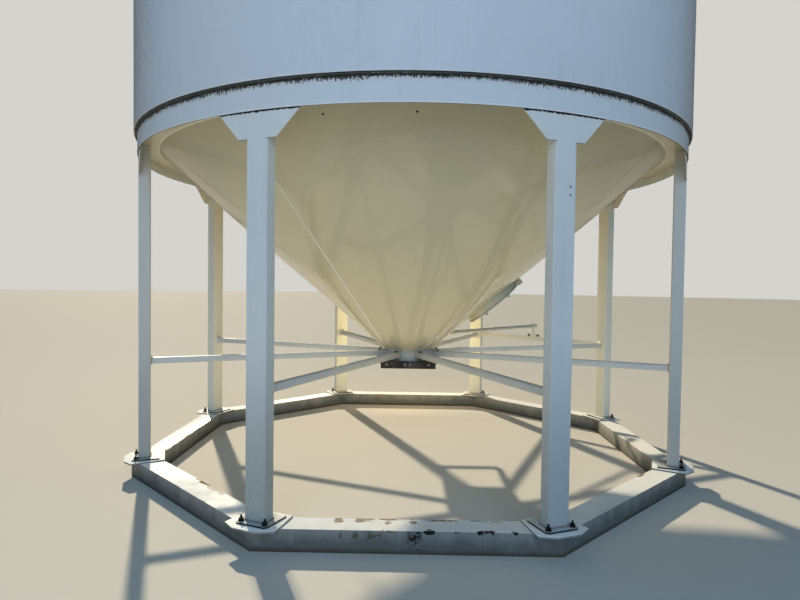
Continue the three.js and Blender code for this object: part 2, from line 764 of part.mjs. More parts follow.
function ladder() {
  const middle = TANK_RADIUS + LADDER_STANDOFF;
  const top = WALL_TOP + LADDER_TOP_RISE;
  const pieces = [];
  for (const side of [-1, 1]) {
    const y = side * LADDER_HALF;
    pieces.push(
      span(
        [middle - LADDER_STILE / 2, y - LADDER_STILE_THICKNESS / 2, LADDER_BOTTOM],
        [middle + LADDER_STILE / 2, y + LADDER_STILE_THICKNESS / 2, top],
      ),
    );
    for (let i = 0; i < COURSES; i += 1) {
      const z = WALL_BOTTOM + (i + 0.5) * COURSE_HEIGHT;
      pieces.push(
        span(
          [TANK_RADIUS - LADDER_STILE, y - LADDER_STILE_THICKNESS / 2, z - LADDER_STILE / 2],
          [middle, y + LADDER_STILE_THICKNESS / 2, z + LADDER_STILE / 2],
        ),
      );
    }
  }
  const rungs = Math.floor((top - LADDER_BOTTOM) / LADDER_PITCH);
  for (let i = 0; i < rungs; i += 1) {
    const z = LADDER_BOTTOM + (i + 0.5) * LADDER_PITCH;
    const rung = new THREE.CylinderGeometry(LADDER_RUNG, LADDER_RUNG, 2 * LADDER_HALF, RUNG_FACETS);
    pieces.push(rung.translate(middle, 0, z));
  }
  // The stand-offs end on the round wall.
  const wallFace = TANK_RADIUS + FIT;
  const wallRoom = revolve([
    [0, 0],
    [wallFace, 0],
    [wallFace, WALL_TOP],
    [0, WALL_TOP],
  ]);
  return cut(join(...pieces), wallRoom);
}

// Assembly

LEG_ANGLES.forEach((angle, i) => {
  const beamAngle = angle + 180 / SIDES;
  addRound(`base_beam_${BEAM_NAMES[i]}`, beamWithPad(), paint(BASE_WHITE, 0.7), beamAngle);
  addRound(`leg_${LEG_NAMES[i]}`, leg(), paint(FRAME_WHITE), angle);
  addRound(`spoke_${LEG_NAMES[i]}`, spokeBrace(), paint(FRAME_WHITE), angle);
});
addRound('side_brace', sideBrace(), paint(FRAME_WHITE), SIDE_BRACE_ANGLE);
addRound('hopper_pipe', pipe(), bareMetal(GALVANIZED), SIDE_BRACE_ANGLE);

const squareNames = ['front', 'right', 'back', 'left'];
const cornerNames = ['front_right', 'back_right', 'back_left', 'front_left'];
const manholeHole = leanOnCone(manholeDrum(MANHOLE_RADIUS + FIT, -MANHOLE_INSIDE * 3, MANHOLE_PROUD * 3));
addQuarters('skirt', skirtShell(), FRAME_WHITE, CONE_SEAM_ANGLE, squareNames);
addQuarters('hopper', cut(hopperShell(), manholeHole), HOPPER_CREAM, CONE_SEAM_ANGLE, squareNames);
addQuarters('wall', wallShell(), TANK_WHITE, WALL_SEAM_ANGLE, cornerNames);
addQuarters('roof', roofShell(), TANK_WHITE, WALL_SEAM_ANGLE, cornerNames);

add('roof_collar', roofCollar(), paint(TANK_WHITE));
add('roof_lid', roofLid(), paint(TANK_WHITE));
add('outlet_collar', outletCollar(), paint(FRAME_WHITE));
add('gate_frame', gateFrame(), bareMetal(DARK_STEEL, 0.7));
add('gate_slide', gateSlide(), bareMetal(GALVANIZED));
add('manhole_collar', manholeCollar(), paint(HOPPER_CREAM));
add('manhole_lid', manholeLid(), paint(FRAME_WHITE));
addRound('ladder', ladder(), bareMetal(GALVANIZED), LADDER_ANGLE);

export default silo;
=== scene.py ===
"""Looks of a steel grain silo with a cone hopper on eight legs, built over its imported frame.

Metres, +Z up. The silo's axis is the Z axis, the ground is z = 0 and the photographed front
faces -Y. Azimuths are degrees from the front toward +X.
"""

import logging
import math
from dataclasses import dataclass, field
from enum import Enum
from typing import Callable, Iterable, Sequence

import bmesh
import bpy
from mathutils import Matrix, Vector, noise


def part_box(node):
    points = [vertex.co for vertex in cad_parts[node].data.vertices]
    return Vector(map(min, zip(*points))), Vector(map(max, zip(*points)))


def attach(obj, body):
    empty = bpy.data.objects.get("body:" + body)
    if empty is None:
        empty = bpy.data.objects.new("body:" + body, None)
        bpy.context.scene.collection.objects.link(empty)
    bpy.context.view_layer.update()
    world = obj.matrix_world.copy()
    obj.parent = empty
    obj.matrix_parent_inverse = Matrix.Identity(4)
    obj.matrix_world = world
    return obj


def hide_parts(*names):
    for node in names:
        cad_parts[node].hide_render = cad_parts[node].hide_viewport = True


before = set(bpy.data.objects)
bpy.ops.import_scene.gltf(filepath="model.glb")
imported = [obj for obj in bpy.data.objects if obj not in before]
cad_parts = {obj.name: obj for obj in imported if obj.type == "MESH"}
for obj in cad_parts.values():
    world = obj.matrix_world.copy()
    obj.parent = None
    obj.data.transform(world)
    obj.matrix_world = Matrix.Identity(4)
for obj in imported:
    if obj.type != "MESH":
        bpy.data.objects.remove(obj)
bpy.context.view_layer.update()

LOG = logging.getLogger("silo")

SIDES = 8
SECTOR = 360 / SIDES
LEG_NAMES = (
    "front_left", "front_right", "right_front", "right_back",
    "back_right", "back_left", "left_back", "left_front",
)
QUARTERS = ("front", "right", "back", "left")
CORNERS = ("front_right", "back_right", "back_left", "front_left")
BEAM_NAMES = (
    "front", "front_right", "right", "back_right", "back", "back_left", "left", "front_left",
)
PHOTO_WIDTH = 800

WALL_BOTTOM = 2.803
COURSE = 1.219
PLATE_TOP = 0.1606
SMOOTH_BELOW = 35.0
BAR_RADIUS = 0.006
HANDLE_POWER = 0.6
SHEET_GAP = 0.00015
UP = Vector((0, 0, 1))

Colour = tuple[float, float, float]
Path = Sequence[Vector]
Pairs = Sequence[tuple[float, float]]
Socket = bpy.types.NodeSocket
Sockets = dict[str, Socket]
Inputs = bpy.types.NodeInputs
Layer = tuple[object, object, float]


class Body(Enum):
    """The frame's moving bodies."""

    SILO = "silo"
    GATE = "gate"
    LID = "lid"


class Slot(Enum):
    """The record's material slots."""

    TANK = "tank_paint"
    HOPPER = "hopper_paint"
    FRAME = "frame_paint"
    BASE = "base_paint"
    ZINC = "galvanized"
    DARK = "dark_steel"


def leg_azimuth(index: int) -> float:
    """Azimuth of a leg, in degrees."""
    return (index - 0.5) * SECTOR


def polar(radius: float, azimuth: float, height: float) -> Vector:
    """A point at a radius, an azimuth in degrees and a height."""
    turn = math.radians(azimuth)
    return Vector((radius * math.sin(turn), -radius * math.cos(turn), height))


def facing(azimuth: float) -> Matrix:
    """The turn that brings a piece built along +X to its azimuth."""
    return Matrix.Rotation(math.radians(azimuth - 90), 4, "Z")


def ease(value: float) -> float:
    """Smooth step from 0 to 1."""
    held = min(1.0, max(0.0, value))
    return held * held * (3 - 2 * held)


class Nodes:
    """Short calls for the nodes of one material or group."""

    def __init__(self, tree: bpy.types.NodeTree) -> None:
        """Starts on the tree that gets the nodes."""
        self.tree = tree

    def add(self, kind: str, **settings: object) -> bpy.types.Node:
        """Adds a node.

        Args:
            kind: Blender's name for the node's type.
            settings: properties to set on it.

        Returns:
            The new node.
        """
        made = self.tree.nodes.new(kind)
        for key, value in settings.items():
            setattr(made, key, value)
        return made

    def feed(self, socket: Socket, value: object) -> None:
        """Links an output to a socket, or sets its plain value.

        Args:
            socket: the input.
            value: the output to link, or a plain value.
        """
        if isinstance(value, Socket):
            self.tree.links.new(value, socket)
            return
        if isinstance(value, tuple) and len(value) == 3 and socket.type == "RGBA":
            value = (*value, 1.0)
        socket.default_value = value

    def math(self, operation: str, *values: object, clamp: bool = False) -> Socket:
        """Works out a Math node of up to three values.

        Args:
            operation: Blender's name for it.
            values: links or plain numbers.
            clamp: True to keep the result between 0 and 1.

        Returns:
            The result's socket.
        """
        made = self.add("ShaderNodeMath", operation=operation, use_clamp=clamp)
        for socket, value in zip(made.inputs, values):
            self.feed(socket, value)
        return made.outputs[0]

    def total(self, *values: object) -> Socket:
        """Adds several values.

        Args:
            values: links or plain numbers.

        Returns:
            The sum's socket, kept between 0 and 1.
        """
        result = values[0]
        for value in values[1:]:
            result = self.math("ADD", result, value, clamp=True)
        return result

    def product(self, *values: object) -> Socket:
        """Multiplies several values.

        Args:
            values: links or plain numbers.

        Returns:
            The product's socket.
        """
        result = values[0]
        for value in values[1:]:
            result = self.math("MULTIPLY", result, value)
        return result

    def plus(self, first: object, second: object) -> Socket:
        """The sum of two values, without a limit."""
        return self.math("ADD", first, second)

    def minus(self, first: object, second: object) -> Socket:
        """The first value less the second."""
        return self.math("SUBTRACT", first, second)

    def flip(self, mask: object) -> Socket:
        """One less a mask."""
        return self.minus(1.0, mask)

    def apart(self, first: object, second: object) -> Socket:
        """How far apart two values are."""
        return self.math("ABSOLUTE", self.minus(first, second))

    def over(self, value: object, limit: object) -> Socket:
        """1 where a value is over a limit, else 0."""
        return self.math("GREATER_THAN", value, limit)

    def under(self, value: object, limit: object) -> Socket:
        """1 where a value is under a limit, else 0."""
        return self.math("LESS_THAN", value, limit)

    def scaled(self, vector: object, by: tuple[float, float, float]) -> Socket:
        """Stretches a vector along each axis.

        Args:
            vector: the vector.
            by: the factor for each axis.

        Returns:
            The new vector's socket.
        """
        made = self.add("ShaderNodeVectorMath", operation="MULTIPLY")
        self.feed(made.inputs[0], vector)
        made.inputs[1].default_value = by
        return made.outputs[0]

    def place(self) -> Socket:
        """The point in the object's own frame, in metres."""
        return self.add("ShaderNodeTexCoord").outputs["Object"]

    def from_axis(self, place: object) -> Socket:
        """How far a place is from the silo's axis."""
        x, y, _ = self.split(place)
        return self.math("SQRT", self.plus(self.product(x, x), self.product(y, y)))

    def faces_up(self) -> Socket:
        """How much the surface faces up, from -1 to 1."""
        return self.split(self.add("ShaderNodeNewGeometry").outputs["Normal"])[2]

    def split(self, vector: object) -> tuple[Socket, ...]:
        """Takes a vector apart.

        Args:
            vector: the vector.

        Returns:
            The sockets of x, y and z.
        """
        made = self.add("ShaderNodeSeparateXYZ")
        self.feed(made.inputs[0], vector)
        return tuple(made.outputs)

    def noise(
        self, vector: object, scale: object, detail: float = 3.0, rough: float = 0.55,
        warp: float = 0.0,
    ) -> Socket:
        """A Noise texture's value.

        Args:
            vector: where it is read.
            scale: how many features to the metre.
            detail: how many finer layers.
            rough: how strong the finer layers are.
            warp: how much it swirls.

        Returns:
            The value socket.
        """
        made = self.add("ShaderNodeTexNoise")
        self.feed(made.inputs["Vector"], vector)
        self.feed(made.inputs["Scale"], scale)
        made.inputs["Detail"].default_value = detail
        made.inputs["Roughness"].default_value = rough
        made.inputs["Distortion"].default_value = warp
        return made.outputs[0]

    def cells(self, vector: object, scale: object) -> bpy.types.Node:
        """Places a Voronoi texture.

        Args:
            vector: where it is read.
            scale: how many cells to the metre.

        Returns:
            The node.
        """
        made = self.add("ShaderNodeTexVoronoi")
        self.feed(made.inputs["Vector"], vector)
        self.feed(made.inputs["Scale"], scale)
        return made

    def fade(self, value: object, start: object, end: object) -> Socket:
        """Fades smoothly from 0 to 1.

        Args:
            value: the value.
            start: where the result is 0, which may be above end.
            end: where the result is 1.

        Returns:
            The result's socket.
        """
        made = self.add("ShaderNodeMapRange", interpolation_type="SMOOTHSTEP", clamp=True)
        self.feed(made.inputs["Value"], value)
        self.feed(made.inputs["From Min"], start)
        self.feed(made.inputs["From Max"], end)
        return made.outputs[0]

    def spread(self, value: object, low: float, high: float) -> Socket:
        """Spreads a value between two numbers.

        Args:
            value: the value, 0 to 1.
            low: the result at 0.
            high: the result at 1.

        Returns:
            The result's socket.
        """
        made = self.add("ShaderNodeMapRange", clamp=True)
        self.feed(made.inputs["Value"], value)
        self.feed(made.inputs["To Min"], low)
        self.feed(made.inputs["To Max"], high)
        return made.outputs[0]

    def mix(self, factor: object, first: object, second: object) -> Socket:
        """Mixes two colours.

        Args:
            factor: the share of the second colour.
            first: the first colour.
            second: the second colour.

        Returns:
            The mixed colour's socket.
        """
        made = self.add("ShaderNodeMix", data_type="RGBA")
        self.feed(made.inputs["Factor"], factor)
        self.feed(made.inputs[6], first)
        self.feed(made.inputs[7], second)
        return made.outputs[2]

    def bump(
        self, height: object, depth: float, under: object = None
    ) -> Socket:
        """A Bump node's normal.

        Args:
            height: the height, 0 to 1.
            depth: how deep a height of 1 is, in metres.
            under: the normal of a coarser bump, if any.

        Returns:
            The normal socket.
        """
        made = self.add("ShaderNodeBump")
        made.inputs["Strength"].default_value = 1.0
        made.inputs["Distance"].default_value = depth
        self.feed(made.inputs["Height"], height)
        if under is not None:
            self.feed(made.inputs["Normal"], under)
        return made.outputs[0]

    def use(self, effect: "Effect", **inputs: object) -> Sockets:
        """Places a shared effect.

        Args:
            effect: the effect.
            inputs: values or links by socket name, with _ for a space.

        Returns:
            The outputs by name.
        """
        made = self.add("ShaderNodeGroup", node_tree=effect.tree())
        for name, value in inputs.items():
            self.feed(made.inputs[name.replace("_", " ")], value)
        return {socket.name: socket for socket in made.outputs}

    def mask(self, effect: "Effect", **inputs: object) -> Socket:
        """The mask of a shared effect. See Nodes.use."""
        return self.use(effect, **inputs)["Mask"]


class Effect:
    """A shader node group that several finishes share."""

    title = "effect"
    takes: tuple[tuple[str, float | None], ...] = ()
    gives: tuple[str, ...] = ("Mask",)

    def tree(self) -> bpy.types.NodeTree:
        """Builds the group the first time it is asked for.

        Returns:
            The group.
        """
        found = bpy.data.node_groups.get(self.title)
        if found:
            return found
        tree = bpy.data.node_groups.new(self.title, "ShaderNodeTree")
        for name, value in self.takes:
            kind = "NodeSocketVector" if value is None else "NodeSocketFloat"
            socket = tree.interface.new_socket(name, in_out="INPUT", socket_type=kind)
            if value is not None:
                socket.default_value = value
        for name in self.gives:
            tree.interface.new_socket(name, in_out="OUTPUT", socket_type="NodeSocketFloat")
        nodes = Nodes(tree)
        source = nodes.add("NodeGroupInput").outputs
        sink = nodes.add("NodeGroupOutput").inputs
        inputs = {socket.name: socket for socket in source if socket.name}
        for name, value in self.build(nodes, inputs).items():
            nodes.feed(sink[name], value)
        return tree

    def build(self, nodes: Nodes, inputs: Sockets) -> Sockets:
        """Makes the group's inside, and says what feeds each output."""
        raise NotImplementedError


class SectorPlace(Effect):
    """Folds the eight sides onto one: how far out, how far along, and which side."""

    title = "sector_place"
    takes = (("Vector", None), ("Offset", 0.0))
    gives = ("Across", "Along", "Height", "Side")

    def build(self, nodes: Nodes, inputs: Sockets) -> Sockets:
        """Folds the place.

        Args:
            nodes: the group's nodes.
            inputs: its inputs.

        Returns:
            What feeds each output.
        """
        x, y, z = nodes.split(inputs["Vector"])
        angle = nodes.math("ARCTAN2", x, nodes.math("MULTIPLY", y, -1.0))
        shifted = nodes.minus(angle, inputs["Offset"])
        step = math.radians(SECTOR)
        side = nodes.math("ROUND", nodes.math("DIVIDE", shifted, step))
        rest = nodes.minus(shifted, nodes.math("MULTIPLY", side, step))
        radius = nodes.from_axis(inputs["Vector"])
        return {
            "Across": nodes.product(radius, nodes.math("COSINE", rest)),
            "Along": nodes.product(radius, nodes.math("SINE", rest)),
            "Height": z,
            "Side": side,
        }


class Specks(Effect):
    """Small scattered spots of fly dirt and chipped paint."""

    title = "specks"
    takes = (("Vector", None), ("Scale", 12.0), ("Share", 0.2), ("Size", 0.06))

    def build(self, nodes: Nodes, inputs: Sockets) -> Sockets:
        """Scatters the spots.

        Args:
            nodes: the group's nodes.
            inputs: its inputs.

        Returns:
            What feeds each output.
        """
        cells = nodes.cells(inputs["Vector"], inputs["Scale"])
        chance = nodes.split(cells.outputs["Color"])
        chosen = nodes.under(chance[0], inputs["Share"])
        size = nodes.product(inputs["Size"], nodes.spread(chance[1], 0.35, 1.0))
        ragged = nodes.noise(inputs["Vector"], nodes.product(inputs["Scale"], 9.0), 2.0)
        edge = nodes.product(size, nodes.spread(ragged, 0.4, 1.6))
        spot = nodes.fade(cells.outputs["Distance"], edge, nodes.product(edge, 0.5))
        return {"Mask": nodes.product(spot, chosen)}


class Clouds(Effect):
    """Broad uneven dust and fading."""

    title = "clouds"
    takes = (("Vector", None), ("Scale", 1.0))

    def build(self, nodes: Nodes, inputs: Sockets) -> Sockets:
        """Mixes a broad and a fine noise.

        Args:
            nodes: the group's nodes.
            inputs: its inputs.

        Returns:
            What feeds each output.
        """
        broad = nodes.noise(inputs["Vector"], inputs["Scale"], 4.0, 0.6, 0.4)
        fine = nodes.noise(inputs["Vector"], nodes.product(inputs["Scale"], 7.0), 5.0, 0.65)
        both = nodes.plus(nodes.product(broad, 0.7), nodes.product(fine, 0.3))
        return {"Mask": nodes.fade(both, 0.36, 0.66)}


class Drips(Effect):
    """Black dirt that clings under an edge and breaks up into clumps and specks below it."""

    title = "drips"
    takes = (("Vector", None), ("Edge", 2.79), ("Length", 0.04), ("Fineness", 100.0))

    def build(self, nodes: Nodes, inputs: Sockets) -> Sockets:
        """Lets the dirt break up with depth below the edge.

        Args:
            nodes: the group's nodes.
            inputs: its inputs.

        Returns:
            What feeds each output.
        """
        below = nodes.minus(inputs["Edge"], nodes.split(inputs["Vector"])[2])
        flat = nodes.scaled(inputs["Vector"], (1.0, 1.0, 0.5))
        clumps = nodes.noise(flat, inputs["Fineness"], 4.0, 0.68)
        tall = nodes.scaled(inputs["Vector"], (1.0, 1.0, 0.1))
        broad = nodes.noise(tall, nodes.product(inputs["Fineness"], 0.05), 3.0)
        uneven = nodes.spread(nodes.fade(broad, 0.3, 0.7), 0.75, 1.25)
        reach = nodes.product(inputs["Length"], uneven)
        depth = nodes.math("DIVIDE", below, reach)
        limit = nodes.plus(nodes.product(depth, 0.42), 0.25)
        clinging = nodes.fade(clumps, limit, nodes.plus(limit, 0.035))
        return {"Mask": nodes.product(clinging, nodes.over(below, -0.002))}


class Streaks(Effect):
    """Faint upright marks that rain leaves."""

    title = "streaks"
    takes = (("Vector", None), ("Scale", 9.0))

    def build(self, nodes: Nodes, inputs: Sockets) -> Sockets:
        """Draws broken upright lines.

        Args:
            nodes: the group's nodes.
            inputs: its inputs.

        Returns:
            What feeds each output.
        """
        tall = nodes.scaled(inputs["Vector"], (1.0, 1.0, 0.06))
        lines = nodes.noise(tall, inputs["Scale"], 5.0, 0.7)
        broken = nodes.noise(inputs["Vector"], nodes.product(inputs["Scale"], 0.2), 2.0)
        return {"Mask": nodes.product(nodes.fade(lines, 0.5, 0.78), nodes.fade(broken, 0.35, 0.7))}


class Grain(Effect):
    """Fine unevenness of sprayed enamel, as a height."""

    title = "spray_grain"
    takes = (("Vector", None), ("Scale", 250.0))
    gives = ("Height",)

    def build(self, nodes: Nodes, inputs: Sockets) -> Sockets:
        """A fine noise. See Effect.build."""
        return {"Height": nodes.noise(inputs["Vector"], inputs["Scale"], 2.0, 0.5)}


class Chips(Effect):
    """Paint flaked off in ragged patches, given how worn each place is."""

    title = "chips"
    takes = (("Vector", None), ("Scale", 14.0), ("Wear", 0.3))

    def build(self, nodes: Nodes, inputs: Sockets) -> Sockets:
        """Flakes more where the wear is greater.

        Args:
            nodes: the group's nodes.
            inputs: its inputs.

        Returns:
            What feeds each output.
        """
        ragged = nodes.noise(inputs["Vector"], inputs["Scale"], 6.0, 0.68, 0.6)
        limit = nodes.minus(0.86, nodes.product(inputs["Wear"], 0.46))
        return {"Mask": nodes.fade(ragged, limit, nodes.plus(limit, 0.025))}


class Rust(Effect):
    """Rust as a tone from dark to orange, with its height."""

    title = "rust_tone"
    takes = (("Vector", None), ("Scale", 40.0))
    gives = ("Tone", "Height")

    def build(self, nodes: Nodes, inputs: Sockets) -> Sockets:
        """Makes the tone and the crust.

        Args:
            nodes: the group's nodes.
            inputs: its inputs.

        Returns:
            What feeds each output.
        """
        tone = nodes.noise(inputs["Vector"], inputs["Scale"], 6.0, 0.7, 0.3)
        crust = nodes.noise(inputs["Vector"], nodes.product(inputs["Scale"], 5.0), 4.0, 0.7)
        return {"Tone": nodes.fade(tone, 0.3, 0.72), "Height": crust}


SECTORS = SectorPlace()
SPECKS = Specks()
CLOUDS = Clouds()
DRIPS = Drips()
STREAKS = Streaks()
GRAIN = Grain()
CHIPS = Chips()
RUST = Rust()

SOOT: Colour = (0.012, 0.011, 0.010)
SOIL: Colour = (0.10, 0.075, 0.05)
DUST: Colour = (0.42, 0.38, 0.31)
# A light colour for painted highlights along edges.
EDGE_HIGHLIGHT: Colour = (0.86, 0.85, 0.80)
RUST_DARK: Colour = (0.05, 0.018, 0.008)
RUST_LIGHT: Colour = (0.44, 0.22, 0.09)


@dataclass(frozen=True)
class Finish:
    """A material of the silo, made once from nodes."""

    name: str
    slot: Slot | None
    colour: Colour
    roughness: float = 0.4

    def material(self) -> bpy.types.Material:
        """Builds the material the first time it is asked for.

        Returns:
            The material.
        """
        found = bpy.data.materials.get(self.name)
        if found:
            return found
        made = bpy.data.materials.new(self.name)
        made.use_nodes = True
        made.node_tree.nodes.clear()
        nodes = Nodes(made.node_tree)
        surface = nodes.add("ShaderNodeOutputMaterial")
        shader = nodes.add("ShaderNodeBsdfPrincipled")
        nodes.feed(surface.inputs["Surface"], shader.outputs[0])
        shader.inputs["Roughness"].default_value = self.roughness
        self.shade(nodes, shader.inputs, nodes.place())
        return made

    def shade(self, nodes: Nodes, shader: Inputs, place: Socket) -> None:
        """Feeds the Principled shader's inputs, given the point in the object's frame."""
        raise NotImplementedError


@dataclass(frozen=True)
class Enamel(Finish):
    """Sprayed gloss enamel with faint fading, dust and specks. Its subclasses add their dirt, and
    some add painted shade and highlights.
    """

    faded: Colour = (0.7, 0.7, 0.68)
    speck_share: float = 0.1
    speck_size: float = 0.05
    gloss: float = 0.25
    rain: float = 0.22
    fading: float = 0.6
    unevenness: float = 0.45

    def dirt(self, nodes: Nodes, place: Socket) -> list[Layer]:
        """Layers of dirt and of painted shade and highlights from the bottom up: mask, colour and
        roughness.
        """
        return []

    def relief(self, nodes: Nodes, place: Socket) -> object:
        """The normal under the paint's own grain, or None."""
        return None

    def shade(self, nodes: Nodes, shader: Inputs, place: Socket) -> None:
        """Paints the enamel and its layers of dirt, painted shade and painted highlights.

        Args:
            nodes: the material's nodes.
            shader: the shader's inputs.
            place: the point on the object.
        """
        clouds = nodes.mask(CLOUDS, Vector=place, Scale=0.9)
        fading = nodes.product(clouds, self.fading)
        colour = nodes.mix(fading, self.colour, self.faded)
        rough = nodes.spread(
            clouds, self.roughness * (1 - self.unevenness / 3),
            self.roughness * (1 + self.unevenness * 2 / 3),
        )
        streaks = nodes.mask(STREAKS, Vector=place, Scale=14.0)
        colour = nodes.mix(nodes.product(streaks, self.rain), colour, DUST)
        specks = nodes.mask(
            SPECKS, Vector=place, Scale=9.0, Share=self.speck_share, Size=self.speck_size
        )
        layers = [(specks, SOOT, 0.8), *self.dirt(nodes, place)]
        coat = nodes.flip(specks)
        for mask, tint, layer_rough in layers:
            colour = nodes.mix(mask, colour, tint)
            clear = nodes.flip(mask)
            rough = nodes.plus(nodes.product(rough, clear), nodes.product(mask, layer_rough))
            coat = nodes.product(coat, clear)
        nodes.feed(shader["Base Color"], colour)
        nodes.feed(shader["Roughness"], rough)
        nodes.feed(shader["Coat Weight"], nodes.product(coat, self.gloss))
        shader["Coat Roughness"].default_value = 0.06
        grain = nodes.use(GRAIN, Vector=place, Scale=320.0)["Height"]
        nodes.feed(shader["Normal"], nodes.bump(grain, 0.00012, self.relief(nodes, place)))


@dataclass(frozen=True)
class TankEnamel(Enamel):
    """The tank's wall and roof: soft sheet unevenness, dirt along the lip, and a painted highlight
    along the wall's bottom edge.
    """

    lip: float = WALL_BOTTOM
    course: float = COURSE

    def relief(self, nodes: Nodes, place: Socket) -> object:
        """See Enamel.relief."""
        flat = nodes.scaled(place, (1.0, 1.0, 0.5))
        return nodes.bump(nodes.noise(flat, 1.6, 1.0, 0.4), 0.006)

    def dirt(self, nodes: Nodes, place: Socket) -> list[Layer]:
        """Dirties the foot of the wall and its joints, and paints a highlight along its bottom
        edge.

        Args:
            nodes: the material's nodes.
            place: the point on the object.

        Returns:
            Its layers from the bottom up.
        """
        height = nodes.split(place)[2]
        over = nodes.minus(height, self.lip)
        ragged = nodes.noise(place, 90.0, 4.0, 0.7)
        rain = nodes.mask(STREAKS, Vector=place, Scale=22.0)
        splash = nodes.product(nodes.fade(over, 0.5, 0.0), rain, 0.35)
        steps = nodes.math("DIVIDE", over, self.course)
        off = nodes.apart(steps, nodes.math("ROUND", steps))
        seam = nodes.product(nodes.fade(off, 0.006, 0.002), nodes.spread(ragged, 0.0, 0.5))
        # A painted highlight: a light line along the wall's lowest 12 mm.
        worn = nodes.product(nodes.fade(over, 0.012, 0.004), nodes.spread(ragged, 0.2, 0.9))
        return [(splash, DUST, 0.7), (seam, DUST, 0.6), (worn, EDGE_HIGHLIGHT, 0.4)]


@dataclass(frozen=True)
class BandEnamel(Enamel):
    """The skirt band: black jagged drips under the lip, a painted highlight along its lower edge
    and painted shade under it.
    """

    lip: float = 2.7905
    shelf_top: float = 2.8027
    foot: float = 2.634
    face: float = 2.408

    def dirt(self, nodes: Nodes, place: Socket) -> list[Layer]:
        """Dirties the band from the lip down, and paints a highlight and shade at its lower edge.

        Args:
            nodes: the material's nodes.
            place: the point on the object.

        Returns:
            Its layers from the bottom up.
        """
        height = nodes.split(place)[2]
        up = nodes.faces_up()
        outside = nodes.over(nodes.from_axis(place), self.face)
        clumps = nodes.mask(
            DRIPS, Vector=place, Edge=self.shelf_top, Length=0.050, Fineness=105.0
        )
        below = nodes.minus(self.lip, height)
        specks = nodes.mask(SPECKS, Vector=place, Scale=75.0, Share=0.3, Size=0.2)
        near = nodes.fade(below, nodes.spread(nodes.noise(place, 7.0, 3.0), 0.03, 0.07), 0.012)
        haze = nodes.product(nodes.fade(height, 2.745, self.lip), 0.25)
        crevice = nodes.product(
            nodes.fade(height, self.shelf_top - 0.007, self.shelf_top - 0.003), outside, 0.92
        )
        over = nodes.minus(height, self.foot)
        upright = nodes.fade(up, -0.5, -0.2)
        # A painted highlight: a light line along the outer face's lowest 14 mm.
        worn = nodes.product(nodes.fade(over, 0.014, 0.006), upright, outside, 0.6)
        # Painted shade, with some dirt, on the band's downward bottom face.
        foot = nodes.product(nodes.fade(up, -0.5, -0.8), nodes.under(over, 0.002), 0.9)
        return [
            (haze, DUST, 0.6),
            (worn, EDGE_HIGHLIGHT, 0.4),
            (foot, (0.06, 0.055, 0.04), 0.8),
            (nodes.product(specks, near, outside, 0.8), SOOT, 0.9),
            (nodes.product(clumps, outside, 0.93), (0.020, 0.022, 0.018), 0.9),
            (crevice, (0.018, 0.022, 0.017), 0.9),
        ]


@dataclass(frozen=True)
class HopperEnamel(Enamel):
    """The cone: cream gloss, near mirror-smooth, with soft waves in its sheets."""

    ridge_highlight: float = 2.251

    def relief(self, nodes: Nodes, place: Socket) -> object:
        """See Enamel.relief."""
        soft = nodes.noise(place, 2.1, 0.0, 0.5)
        return nodes.bump(soft, 0.005)

    def dirt(self, nodes: Nodes, place: Socket) -> list[Layer]:
        """Darkens the cone's top with dust colour and its foot near the outlet, and paints shade
        near the rim and on its sides and a highlight along the bend.

        Args:
            nodes: the material's nodes.
            place: the point on the object.

        Returns:
            Its layers from the bottom up.
        """
        height = nodes.split(place)[2]
        radius = nodes.from_axis(place)
        ragged = nodes.noise(place, 24.0, 4.0, 0.7)
        # Darkens the cone's top 100 mm, under the band, with dust colour.
        rim = nodes.product(nodes.fade(height, 2.6, 2.7), nodes.spread(ragged, 0.0, 0.35))
        foot = nodes.product(nodes.fade(radius, 0.42, 0.23), nodes.spread(ragged, 0.05, 0.7))
        # Painted shade, darker towards the band.
        shade = nodes.product(nodes.fade(height, 2.2, 2.7), nodes.spread(ragged, 0.38, 0.58))
        # A painted highlight: a light line along the bend into the rim.
        off = nodes.apart(radius, self.ridge_highlight)
        ridge_highlight = nodes.product(nodes.fade(off, 0.012, 0.004), nodes.spread(ragged, 0.4, 1.0))
        # Painted shade on the cone's left and right sides.
        sideways = nodes.math("ABSOLUTE", nodes.split(place)[0])
        painted_cone_side_shade = nodes.product(nodes.fade(sideways, 0.8, 1.6), nodes.spread(ragged, 0.42, 0.56))
        return [
            (painted_cone_side_shade, (0.31, 0.30, 0.23), 0.4),
            (shade, (0.36, 0.32, 0.20), 0.4),
            (ridge_highlight, (0.86, 0.83, 0.70), 0.25),
            (rim, DUST, 0.5),
            (foot, (0.22, 0.20, 0.16), 0.6),
        ]


